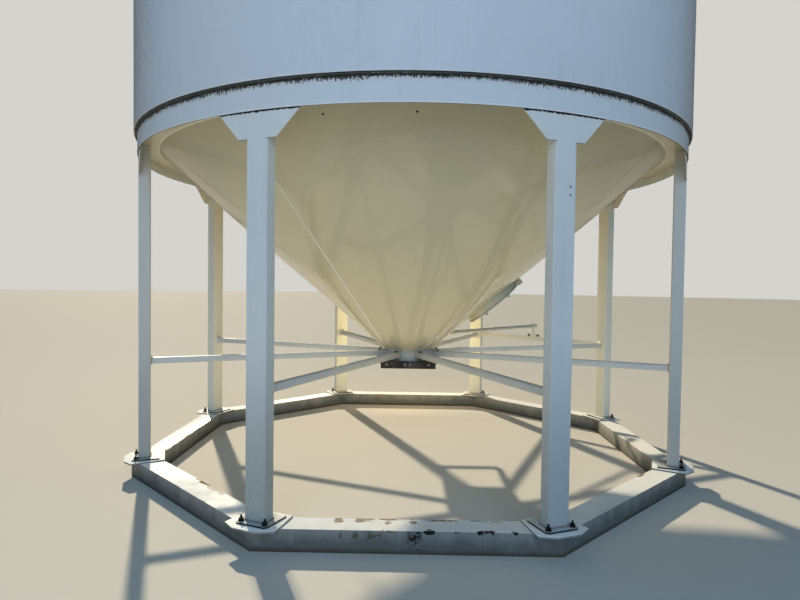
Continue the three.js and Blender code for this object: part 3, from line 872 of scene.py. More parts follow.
@dataclass(frozen=True)
class LegEnamel(Enamel):
    """The legs: dirt over the gusset's top edge, soil at the foot, a dark plate joint, painted
    shade low on the front legs and on the side legs, and painted warm light on the back legs.
    """

    gusset_top: float = 2.634
    gusset_bottom: float = 2.466
    face: float = 2.3995
    plate_top: float = PLATE_TOP
    flat_half: float = 0.064

    def dirt(self, nodes: Nodes, place: Socket) -> list[Layer]:
        """Dirties the legs from the gusset to the plate, and paints shade and warm light on them.

        Args:
            nodes: the material's nodes.
            place: the point on the object.

        Returns:
            Its layers from the bottom up.
        """
        x, y, height = nodes.split(place)
        drips = nodes.mask(DRIPS, Vector=place, Edge=self.gusset_top, Length=0.015, Fineness=110.0)
        outside = nodes.over(nodes.from_axis(place), self.face)
        ragged = nodes.noise(place, 30.0, 5.0, 0.7)
        wing = nodes.minus(height, self.gusset_bottom)
        folded = nodes.use(SECTORS, Vector=place, Offset=math.radians(SECTOR / 2))
        beside = nodes.over(nodes.math("ABSOLUTE", folded["Along"]), self.flat_half)
        # Darkens the gussets' lowest 6 mm beside the tube.
        edge = nodes.product(nodes.fade(wing, 0.006, 0.001), nodes.over(wing, -0.0005))
        above = nodes.minus(height, self.plate_top)
        # Painted shade, darker towards the bottom on the front legs and more so on the left.
        shaded = nodes.fade(y, 0.5, -1.5)
        leftward = nodes.spread(nodes.fade(x, 0.5, -0.5), 0.95, 1.25)
        low = nodes.fade(height, 1.45, 0.3)
        dull = nodes.product(low, nodes.spread(ragged, 0.42, 0.68), shaded, leftward)
        # Painted shade on the legs at the left and right sides, towards the front.
        painted_leg_side_shade = nodes.product(
            nodes.fade(nodes.math("ABSOLUTE", x), 1.6, 2.1), nodes.fade(y, 0.5, -0.5),
            nodes.spread(ragged, 0.3, 0.5),
        )
        # Painted warm light on the legs at the back.
        painted_warm_light = nodes.product(nodes.fade(y, 0.4, 0.8), nodes.spread(ragged, 0.5, 0.7))
        splash = nodes.product(
            nodes.fade(above, nodes.spread(ragged, 0.03, 0.6), 0.0), nodes.spread(ragged, 0.1, 0.8)
        )
        soil = nodes.product(
            nodes.fade(above, nodes.spread(ragged, 0.0, 0.03), 0.0),
            nodes.over(above, 0.0004), 0.8,
        )
        upright = nodes.fade(nodes.faces_up(), 0.6, 0.3)
        line = nodes.product(nodes.under(above, 0.0002), upright)
        chips = nodes.mask(CHIPS, Vector=place, Scale=26.0, Wear=0.14)
        return [
            (painted_warm_light, (0.90, 0.85, 0.68), 0.4),
            (painted_leg_side_shade, (0.40, 0.39, 0.36), 0.5),
            (dull, (0.27, 0.29, 0.28), 0.6),
            (nodes.product(splash, 0.45), DUST, 0.75),
            (soil, SOIL, 0.9),
            (nodes.product(chips, 0.7), RUST_DARK, 0.85),
            (line, SOOT, 0.9),
            (nodes.product(edge, outside, beside, 0.8), SOOT, 0.9),
            (nodes.product(drips, outside), SOOT, 0.9),
        ]


@dataclass(frozen=True)
class BraceEnamel(Enamel):
    """The spokes: dusty tops, chips along them and grime by the outlet."""

    def dirt(self, nodes: Nodes, place: Socket) -> list[Layer]:
        """Dirties the spokes' tops and inner ends.

        Args:
            nodes: the material's nodes.
            place: the point on the object.

        Returns:
            Its layers from the bottom up.
        """
        folded = nodes.use(SECTORS, Vector=place, Offset=math.radians(SECTOR / 2))
        ragged = nodes.noise(place, 18.0, 5.0, 0.7)
        flat = nodes.fade(nodes.faces_up(), 0.5, 0.95)
        top = nodes.product(flat, nodes.spread(ragged, 0.0, 0.22))
        near = nodes.fade(folded["Across"], 0.75, 0.22)
        inner = nodes.product(near, nodes.spread(ragged, 0.0, 0.8))
        chips = nodes.mask(CHIPS, Vector=place, Scale=30.0, Wear=0.3)
        return [
            (top, DUST, 0.8),
            (inner, (0.16, 0.14, 0.12), 0.7),
            (nodes.product(chips, 0.7), RUST_DARK, 0.85),
        ]


class BeamPlace:
    """Sockets that say where on the base ring a place is and which way it faces."""

    def __init__(self, nodes: Nodes, place: Socket, top: float, inner: float) -> None:
        """Builds the sockets.

        Args:
            nodes: the material's nodes.
            place: the point in the ring's frame.
            top: height of the beams' top.
            inner: distance from the middle to the beams' inner faces.
        """
        folded = nodes.use(SECTORS, Vector=place, Offset=0.0)
        self.across, self.along = folded["Across"], folded["Along"]
        self.height, self.side = folded["Height"], folded["Side"]
        self.x, y, _ = nodes.split(place)
        self.ragged = nodes.noise(place, 13.0, 6.0, 0.72)
        self.busy = nodes.fade(nodes.noise(place, 1.7, 3.0, 0.6), 0.42, 0.68)
        self.flat = nodes.fade(nodes.faces_up(), 0.6, 0.95)
        self.upright = nodes.flip(self.flat)
        self.front = nodes.under(y, -inner)
        self.below_top = nodes.minus(top, self.height)
        self.beam = nodes.under(self.height, top + 0.0006)


@dataclass(frozen=True)
class BaseEnamel(Enamel):
    """The base ring: flaked edges, rust on top, soil splashed up its sides, and damp deepened into
    painted shade on its upright faces.

    The marks at given places along the front beam are pairs of a middle and a half length.
    """

    top: float = 0.140
    outer: float = 2.2676
    inner: float = 2.0876
    chips_at: Pairs = (
        (-0.115, 0.03), (0.14, 0.014), (0.455, 0.012), (0.525, 0.03), (0.652, 0.02),
    )
    rust_at: Pairs = ((-0.42, 0.03), (-0.25, 0.10), (-0.107, 0.025), (0.045, 0.035))
    stains_at: Pairs = ((-0.388, 0.010), (-0.304, 0.026), (-0.214, 0.010), (-0.166, 0.008))
    stain_height: float = 0.108
    smear_place: float = 0.052

    def stretches(self, nodes: Nodes, along: Socket, spans: Pairs) -> Socket:
        """Mask of the stretches of a beam round given places.

        Args:
            nodes: the material's nodes.
            along: distance along the beam.
            spans: the middle and half length of each stretch.

        Returns:
            The mask's socket.
        """
        near = [
            nodes.fade(nodes.apart(along, middle), half + 0.035, half * 0.3)
            for middle, half in spans
        ]
        return nodes.total(*near)

    def worn_edges(self, nodes: Nodes, place: Socket, at: BeamPlace) -> tuple[Socket, ...]:
        """Wears the edges of the beams.

        Args:
            nodes: the material's nodes.
            place: the point in the ring's frame.
            at: where on the ring that is.

        Returns:
            Masks of bare black steel, of rust and of its stain.
        """
        from_outer = nodes.minus(self.outer, at.across)
        to_top = nodes.fade(at.below_top, 0.034, 0.0)
        to_outer = nodes.fade(from_outer, 0.030, 0.0)
        to_inner = nodes.fade(nodes.minus(at.across, self.inner), 0.055, 0.0)
        chipped = nodes.product(
            self.stretches(nodes, at.x, self.chips_at), at.front,
            nodes.fade(at.below_top, 0.05, 0.0), nodes.fade(from_outer, 0.075, 0.01), 0.84,
        )
        front_edge = nodes.total(nodes.product(to_top, to_outer, at.busy, 0.62), chipped)
        rear_edge = nodes.product(to_top, to_inner, at.busy, 0.8)
        black_wear = nodes.total(front_edge, 0.07)
        wear = nodes.total(rear_edge, nodes.product(at.busy, 0.16))
        return (
            nodes.mask(CHIPS, Vector=place, Scale=17.0, Wear=black_wear),
            nodes.mask(CHIPS, Vector=place, Scale=9.0, Wear=wear),
            nodes.mask(CHIPS, Vector=place, Scale=5.0, Wear=nodes.total(wear, 0.2)),
        )

    def top_marks(self, nodes: Nodes, place: Socket, at: BeamPlace) -> tuple[Socket, ...]:
        """Marks the front beam's top along its rear half.

        Args:
            nodes: the material's nodes.
            place: the point in the ring's frame.
            at: where on the ring that is.

        Returns:
            Masks of rust islands and of dark patches.
        """
        drawn_out = nodes.scaled(place, (0.4, 1.35, 1.0))
        rearward = nodes.fade(at.across, self.outer - 0.03, self.inner + 0.04)
        rear_half = nodes.product(at.flat, at.front, rearward)
        sunny = nodes.product(rear_half, self.stretches(nodes, at.x, self.rust_at), 0.86)
        right = nodes.fade(at.x, 0.03, 0.1)
        shady = nodes.product(rear_half, right, nodes.fade(at.x, 0.85, 0.7), 0.62)
        return (
            nodes.mask(CHIPS, Vector=drawn_out, Scale=13.0, Wear=sunny),
            nodes.mask(CHIPS, Vector=drawn_out, Scale=16.0, Wear=shady),
        )

    def side_marks(self, nodes: Nodes, place: Socket, at: BeamPlace) -> tuple[Socket, ...]:
        """Marks the upright faces, and paints shade on them.

        Args:
            nodes: the material's nodes.
            place: the point in the ring's frame.
            at: where on the ring that is.

        Returns:
            Masks of the dampness deepened by painted shade, and of the front face's stains and
            black smear.
        """
        # Damp grime deepened into painted shade on the upright faces, darker towards the bottom.
        grime = nodes.noise(nodes.scaled(place, (1.0, 1.0, 0.4)), 9.0, 5.0, 0.7)
        wet_and_shaded = nodes.spread(nodes.fade(at.height, 0.15, 0.0), 0.76, 1.0)
        damp_and_shade = nodes.product(wet_and_shaded, nodes.spread(grime, 0.72, 1.25), at.upright)
        level = nodes.fade(nodes.apart(at.height, self.stain_height), 0.06, 0.0)
        stained = self.stretches(nodes, at.x, self.stains_at)
        spots = nodes.product(stained, level, at.upright, at.front, 0.98)
        smeared = nodes.fade(nodes.apart(at.x, self.smear_place), 0.06, 0.02)
        return (
            nodes.math("MINIMUM", damp_and_shade, 0.92),
            nodes.mask(CHIPS, Vector=place, Scale=20.0, Wear=spots),
            nodes.product(smeared, at.front, at.upright, nodes.fade(at.ragged, 0.4, 0.56)),
        )

    def cracks(self, nodes: Nodes, at: BeamPlace) -> Socket:
        """Draws fine cracks in the paint along the beams' tops.

        Args:
            nodes: the material's nodes.
            at: where on the ring that is.

        Returns:
            The mask.
        """
        drawn_out = nodes.add("ShaderNodeCombineXYZ")
        nodes.feed(drawn_out.inputs[0], nodes.product(at.across, 60.0))
        nodes.feed(drawn_out.inputs[1], nodes.product(at.along, 1.6))
        nodes.feed(drawn_out.inputs[2], at.side)
        lines = nodes.fade(nodes.noise(drawn_out.outputs[0], 1.0, 4.0, 0.7), 0.64, 0.70)
        return nodes.product(lines, at.flat, at.beam, 0.45)

    def dirt(self, nodes: Nodes, place: Socket) -> list[Layer]:
        """Dirties the beams all over, paints shade on their upright faces, and marks the front one.

        Args:
            nodes: the material's nodes.
            place: the point on the object.

        Returns:
            Its layers from the bottom up.
        """
        at = BeamPlace(nodes, place, self.top, self.inner)
        black, chips, stain = self.worn_edges(nodes, place, at)
        islands, patches = self.top_marks(nodes, place, at)
        damp_and_shade, spots, smear = self.side_marks(nodes, place, at)
        rust = nodes.use(RUST, Vector=place, Scale=22.0)
        rusty = nodes.mix(rust["Tone"], RUST_DARK, RUST_LIGHT)
        soil = nodes.fade(at.height, nodes.spread(at.ragged, 0.005, 0.075), 0.0)
        blotch = nodes.product(nodes.mask(CLOUDS, Vector=place, Scale=2.6), 0.12)
        return [
            (blotch, DUST, 0.8),
            (nodes.product(at.flat, nodes.spread(at.ragged, 0.0, 0.2)), DUST, 0.85),
            (damp_and_shade, (0.10, 0.10, 0.09), 0.85),
            (nodes.product(spots, 0.65), (0.065, 0.055, 0.022), 0.85),
            (self.cracks(nodes, at), (0.12, 0.10, 0.07), 0.85),
            (nodes.product(stain, at.beam, 0.4), (0.32, 0.19, 0.08), 0.85),
            (nodes.product(chips, at.beam), rusty, 0.9),
            (nodes.product(islands, at.beam, 0.9), nodes.mix(0.35, rusty, DUST), 0.9),
            (nodes.product(patches, at.beam, 0.8), (0.05, 0.045, 0.04), 0.9),
            (smear, SOOT, 0.95),
            (nodes.product(black, nodes.spread(at.beam, 0.35, 1.0)), (0.018, 0.014, 0.012), 0.9),
            (soil, SOIL, 0.95),
        ]

    def relief(self, nodes: Nodes, place: Socket) -> object:
        """See Enamel.relief."""
        dents = nodes.bump(nodes.noise(place, 6.0, 3.0, 0.5), 0.010)
        return nodes.bump(nodes.noise(place, 45.0, 4.0, 0.6), 0.0012, dents)


@dataclass(frozen=True)
class Zinc(Finish):
    """Hot-dip galvanizing: spangles, white bloom and dull patches."""

    def shade(self, nodes: Nodes, shader: Inputs, place: Socket) -> None:
        """Paints the spangles, bloom and rust.

        Args:
            nodes: the material's nodes.
            shader: the shader's inputs.
            place: the point on the object.
        """
        spangle = nodes.cells(place, 55.0)
        tone = nodes.split(spangle.outputs["Color"])[0]
        clouds = nodes.mask(CLOUDS, Vector=place, Scale=5.0)
        dull = tuple(0.72 * part for part in self.colour)
        colour = nodes.mix(nodes.product(tone, 0.5), self.colour, dull)
        colour = nodes.mix(nodes.product(clouds, 0.4), colour, (0.64, 0.63, 0.59))
        chips = nodes.mask(CHIPS, Vector=place, Scale=35.0, Wear=0.28)
        colour = nodes.mix(nodes.product(chips, 0.8), colour, (0.16, 0.075, 0.035))
        nodes.feed(shader["Base Color"], colour)
        shader["Metallic"].default_value = 0.3
        rough = nodes.plus(nodes.spread(tone, 0.3, 0.45), nodes.product(clouds, 0.2))
        nodes.feed(shader["Roughness"], rough)
        scratch = nodes.noise(place, 130.0, 3.0, 0.6)
        nodes.feed(shader["Normal"], nodes.bump(scratch, 0.0003))


@dataclass(frozen=True)
class DarkSteel(Finish):
    """Steel under old dark primer, gone brown, with grain dust in its corners."""

    rust_share: float = 0.5

    def shade(self, nodes: Nodes, shader: Inputs, place: Socket) -> None:
        """Paints the old primer, rust and dust.

        Args:
            nodes: the material's nodes.
            shader: the shader's inputs.
            place: the point on the object.
        """
        rust = nodes.use(RUST, Vector=place, Scale=30.0)
        rusty = nodes.mix(rust["Tone"], RUST_DARK, (0.13, 0.055, 0.025))
        chips = nodes.mask(CHIPS, Vector=place, Scale=18.0, Wear=self.rust_share)
        colour = nodes.mix(chips, self.colour, rusty)
        clouds = nodes.mask(CLOUDS, Vector=place, Scale=8.0)
        colour = nodes.mix(nodes.product(clouds, 0.18), colour, DUST)
        nodes.feed(shader["Base Color"], colour)
        shader["Metallic"].default_value = 0.3
        nodes.feed(shader["Roughness"], nodes.spread(rust["Tone"], 0.5, 0.85))
        nodes.feed(shader["Normal"], nodes.bump(rust["Height"], 0.0009))


@dataclass(frozen=True)
class Hardware(Finish):
    """Bolt heads, nuts and studs: plated or black, with rust in the recesses."""

    metal: float = 0.8

    def shade(self, nodes: Nodes, shader: Inputs, place: Socket) -> None:
        """Paints the metal and its rust.

        Args:
            nodes: the material's nodes.
            shader: the shader's inputs.
            place: the point on the object.
        """
        tone = nodes.noise(place, 120.0, 4.0, 0.65)
        rust = nodes.mask(CHIPS, Vector=place, Scale=90.0, Wear=0.6)
        dark = tuple(0.6 * part for part in self.colour)
        colour = nodes.mix(tone, self.colour, dark)
        nodes.feed(
            shader["Base Color"], nodes.mix(nodes.product(rust, 0.6), colour, (0.09, 0.04, 0.02))
        )
        shader["Metallic"].default_value = self.metal
        nodes.feed(shader["Roughness"], nodes.spread(tone, self.roughness, self.roughness + 0.3))
        nodes.feed(shader["Normal"], nodes.bump(tone, 0.0004))


@dataclass(frozen=True)
class Crust(Finish):
    """Black dirt and moss packed under the lip."""

    def shade(self, nodes: Nodes, shader: Inputs, place: Socket) -> None:
        """Paints the crust from black to brown.

        Args:
            nodes: the material's nodes.
            shader: the shader's inputs.
            place: the point on the object.
        """
        tone = nodes.noise(place, 80.0, 6.0, 0.7)
        nodes.feed(shader["Base Color"], nodes.mix(tone, self.colour, (0.045, 0.038, 0.028)))
        nodes.feed(shader["Roughness"], nodes.spread(tone, 0.8, 1.0))
        nodes.feed(shader["Normal"], nodes.bump(nodes.noise(place, 160.0, 5.0, 0.7), 0.003))


@dataclass(frozen=True)
class Rubber(Finish):
    """The manhole's gasket: matt, dusty rubber."""

    def shade(self, nodes: Nodes, shader: Inputs, place: Socket) -> None:
        """Paints the rubber and its dust.

        Args:
            nodes: the material's nodes.
            shader: the shader's inputs.
            place: the point on the object.
        """
        dust = nodes.mask(CLOUDS, Vector=place, Scale=9.0)
        nodes.feed(shader["Base Color"], nodes.mix(nodes.product(dust, 0.3), self.colour, DUST))
        nodes.feed(shader["Roughness"], nodes.spread(dust, 0.6, 0.85))
        nodes.feed(shader["Normal"], nodes.bump(nodes.noise(place, 300.0, 2.0), 0.0003))


@dataclass(frozen=True)
class StudioFloor(Finish):
    """Plain pale studio floor."""

    def shade(self, nodes: Nodes, shader: Inputs, place: Socket) -> None:
        """Paints the floor a little unevenly.

        Args:
            nodes: the material's nodes.
            shader: the shader's inputs.
            place: the point on the object.
        """
        tone = nodes.noise(place, 0.6, 3.0, 0.5)
        darker = tuple(0.97 * part for part in self.colour)
        nodes.feed(shader["Base Color"], nodes.mix(tone, self.colour, darker))


TANK_WHITE = TankEnamel(
    "tank_white", Slot.TANK, (0.70, 0.73, 0.76), 0.3, faded=(0.66, 0.69, 0.72),
    speck_share=0.05, speck_size=0.028, gloss=0.35,
)
BAND_WHITE = BandEnamel(
    "band_white", Slot.FRAME, (0.72, 0.75, 0.77), 0.34, faded=(0.66, 0.69, 0.70),
    speck_share=0.08, speck_size=0.035,
)
CREAM = HopperEnamel(
    "hopper_cream", Slot.HOPPER, (0.70, 0.65, 0.46), 0.22, faded=(0.67, 0.62, 0.45),
    speck_share=0.05, speck_size=0.03, gloss=1.0, rain=0.06, fading=0.3, unevenness=0.1,
)
# A lighter copy of the hopper's cream: a painted highlight for the seams.
SEAM_HIGHLIGHT_CREAM = HopperEnamel(
    "seam_highlight_cream", Slot.HOPPER, (0.94, 0.92, 0.82), 0.25, faded=(0.90, 0.88, 0.76),
    speck_share=0.1, speck_size=0.03, gloss=1.0, rain=0.05,
)
LEG_WHITE = LegEnamel(
    "leg_white", Slot.FRAME, (0.77, 0.78, 0.75), 0.36, faded=(0.73, 0.74, 0.70),
    speck_share=0.12, speck_size=0.03,
)
BRACE_WHITE = BraceEnamel(
    "brace_white", Slot.FRAME, (0.70, 0.70, 0.66), 0.42, faded=(0.62, 0.61, 0.57),
    speck_share=0.2, speck_size=0.04,
)
BASE_WHITE = BaseEnamel(
    "base_white", Slot.BASE, (0.90, 0.89, 0.84), 0.55, faded=(0.80, 0.77, 0.71),
    speck_share=0.35, speck_size=0.05, gloss=0.05,
)
ZINC = Zinc("zinc", Slot.ZINC, (0.66, 0.65, 0.60), 0.4)
GATE_STEEL = DarkSteel("gate_steel", Slot.DARK, (0.030, 0.024, 0.020), 0.65)
BLACK_BOLT = Hardware("black_bolt", Slot.DARK, (0.022, 0.021, 0.020), 0.45, metal=0.5)
PLATED_BOLT = Hardware("plated_bolt", Slot.ZINC, (0.55, 0.55, 0.52), 0.32, metal=0.9)
LIP_CRUST = Crust("lip_crust", Slot.DARK, (0.010, 0.010, 0.009), 0.9)
GASKET = Rubber("gasket_rubber", Slot.DARK, (0.34, 0.34, 0.32), 0.7)
FLOOR = StudioFloor("studio_floor", None, (0.62, 0.57, 0.49), 0.9)


def into_scene(name: str, data: bpy.types.ID) -> bpy.types.Object:
    """Puts a new object into the scene.

    Args:
        name: the object's name.
        data: its mesh, lamp or camera.

    Returns:
        The object.
    """
    made = bpy.data.objects.new(name, data)
    bpy.context.scene.collection.objects.link(made)
    return made


class Shape:
    """Mesh code for one piece."""

    def __init__(self) -> None:
        """Starts empty."""
        self.mesh = bmesh.new()

    def loft(
        self, rings: Sequence[Path], looped: bool = False, capped: bool = True
    ) -> None:
        """Joins closed rings of equally many points into a skin.

        Args:
            rings: the rings in order.
            looped: True to join the last ring to the first.
            capped: True to close both ends, if not looped.
        """
        made = [[self.mesh.verts.new(point) for point in ring] for ring in rings]
        count = len(made[0])
        pairs = list(zip(made, made[1:]))
        if looped:
            pairs.append((made[-1], made[0]))
        for near, far in pairs:
            for i in range(count):
                after = (i + 1) % count
                self.mesh.faces.new((near[i], near[after], far[after], far[i]))
        if capped and not looped:
            self.mesh.faces.new(made[0][::-1])
            self.mesh.faces.new(made[-1])

    def sweep(
        self, path: Path, outline: Pairs,
        up: Callable[[Vector], Vector], looped: bool = False,
        size: Callable[[int], float] | None = None,
    ) -> None:
        """Carries an outline along a path.

        Args:
            path: the points it follows.
            outline: aside and up offsets of the outline's points.
            up: the up direction at a point.
            looped: True for a closed path.
            size: the outline's scale at each point, if it changes.
        """
        rings = []
        last = len(path) - 1
        for i, point in enumerate(path):
            before = path[i - 1] if i or looped else path[0]
            after = path[(i + 1) % len(path)] if i < last or looped else path[last]
            ahead = (after - before).normalized()
            upward = up(point).normalized()
            aside = ahead.cross(upward).normalized()
            scale = size(i) if size else 1.0
            rings.append([point + (aside * a + upward * b) * scale for a, b in outline])
        self.loft(rings, looped)

    def turned(
        self, base: Vector, axis: Vector, profile: Pairs, count: int = 20
    ) -> None:
        """A solid turned about an axis.

        Args:
            base: where height 0 is.
            axis: the axis, pointing to greater heights.
            profile: radius and height pairs from one end to the other.
            count: facets of a turn, 6 for a hexagon.
        """
        lift = axis.normalized()
        across = lift.orthogonal().normalized()
        other = lift.cross(across)
        rings = []
        for radius, height in profile:
            rings.append([
                base + lift * height
                + (across * math.cos(i * math.tau / count) + other * math.sin(i * math.tau / count))
                * radius
                for i in range(count)
            ])
        self.loft(rings)

    def hex_bolt(
        self, base: Vector, axis: Vector, size: float, head: float = 0.65, stud: float = 0.0
    ) -> None:
        """A washer and a chamfered hexagon head or nut, with the stud's end if it has one.

        Args:
            base: the point on the surface under the washer.
            axis: the way that the head points.
            size: the head's corner radius.
            head: the head's height as a share of its corner radius.
            stud: how far the stud stands over the head.
        """
        lift = axis.normalized()
        washer = size * 0.16
        self.turned(base, lift, [
            (size * 1.25, 0.0), (size * 1.25, washer * 0.7), (size * 1.15, washer),
        ])
        tall = size * head
        self.turned(base + lift * washer, lift, [
            (size * 0.93, 0.0), (size, tall * 0.12), (size, tall * 0.84), (size * 0.82, tall),
        ], 6)
        if stud:
            thread = size * 0.48
            turns = [(thread, washer + tall * 0.9)]
            pitch = size * 0.13
            top = washer + tall + stud
            height = washer + tall
            while height < top - pitch:
                turns.append((thread, height))
                turns.append((thread * 0.9, height + pitch / 2))
                height += pitch
            turns.append((thread * 0.8, top))
            self.turned(base, lift, turns, 12)

    def move(self, matrix: Matrix) -> None:
        """Moves everything made so far."""
        bmesh.ops.transform(self.mesh, matrix=matrix, verts=self.mesh.verts)

    def finished(self, name: str) -> bpy.types.Object:
        """Puts the mesh into the scene.

        Args:
            name: the object's name.

        Returns:
            The object, with its faces turned outward.
        """
        bmesh.ops.recalc_face_normals(self.mesh, faces=self.mesh.faces)
        data = bpy.data.meshes.new(name)
        self.mesh.to_mesh(data)
        self.mesh.free()
        return into_scene(name, data)

    def piece(
        self, name: str, finish: Finish, body: Body = Body.SILO, instead_of: Iterable[str] = ()
    ) -> bpy.types.Object:
        """Turns the mesh into a piece of the scene.

        Args:
            name: the piece's name.
            finish: its finish.
            body: the body that it rides on.
            instead_of: frame nodes that it stands for.

        Returns:
            The new object.
        """
        made = self.finished(name)
        data = made.data
        data.polygons.foreach_set("use_smooth", [True] * len(data.polygons))
        data.set_sharp_from_angle(angle=math.radians(SMOOTH_BELOW))
        data.materials.append(finish.material())
        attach(made, body.value)
        for node in instead_of:
            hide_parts(node)
        LOG.info("made %s: %d faces", name, len(data.polygons))
        return made


def round_edges(piece: bpy.types.Object, width: float) -> None:
    """Rounds a piece's sharp edges with a modifier.

    Args:
        piece: the piece.
        width: width of a rounded edge.
    """
    bevel = piece.modifiers.new("rounded", "BEVEL")
    bevel.width = width
    bevel.segments = 2
    bevel.limit_method = "ANGLE"
    bevel.angle_limit = math.radians(40)
    bevel.use_clamp_overlap = True


def bead(width: float, height: float) -> list[tuple[float, float]]:
    """Shapes a weld bead that sinks a little into what it lies on.

    Args:
        width: the bead's width.
        height: how far it stands up.

    Returns:
        Its outline.
    """
    half = width / 2
    arc = [(-half * across, height * up) for across, up in arch(6)]
    return [(-half, -height * 0.5), *arc, (half, -height * 0.5)]


def round_bar(radius: float, count: int = 8) -> list[tuple[float, float]]:
    """The outline of a round bar."""
    turns = [i * math.tau / count for i in range(count)]
    return [(radius * math.cos(turn), radius * math.sin(turn)) for turn in turns]


def arch(steps: int, power: float = 1.0) -> list[tuple[float, float]]:
    """Points of a half circle of radius 1, flattened on top by a power under 1."""
    turns = [math.pi * i / steps for i in range(steps + 1)]
    return [(math.cos(turn), math.sin(turn) ** power) for turn in turns]


def ripple(seed: float, amount: float) -> Callable[[int], float]:
    """A bead's uneven size along its path."""
    return lambda i: 1 + amount * noise.noise(Vector((i * 0.61, seed, 0.0)))


def outward(point: Vector) -> Vector:
    """The level direction away from the silo's axis."""
    return Vector((point.x, point.y, 0.0))


def circle(radius: float, height: float, count: int) -> list[Vector]:
    """Points of a level circle."""
    return [polar(radius, i * 360 / count, height) for i in range(count)]


def dress(names: Iterable[str], finish: Finish, bevel: float = 0.0, smooth: float = 30.0) -> None:
    """Gives frame nodes their finish, smooth shading and rounded edges.

    Args:
        names: the nodes.
        finish: the finish that they get.
        bevel: width of their rounded edges, or 0.
        smooth: edges flatter than this many degrees are shaded smooth.
    """
    for name in names:
        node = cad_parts[name]
        data = node.data
        data.materials.clear()
        data.materials.append(finish.material())
        for attribute in ("custom_normal", "sharp_face", "sharp_edge"):
            found = data.attributes.get(attribute)
            if found:
                data.attributes.remove(found)
        data.polygons.foreach_set("use_smooth", [True] * len(data.polygons))
        weld = node.modifiers.new("welded", "WELD")
        weld.merge_threshold = 0.00005
        if bevel:
            round_edges(node, bevel)
        split = node.modifiers.new("crisp", "EDGE_SPLIT")
        split.split_angle = math.radians(smooth)
        LOG.info("dressed %s with %s", name, finish.name)


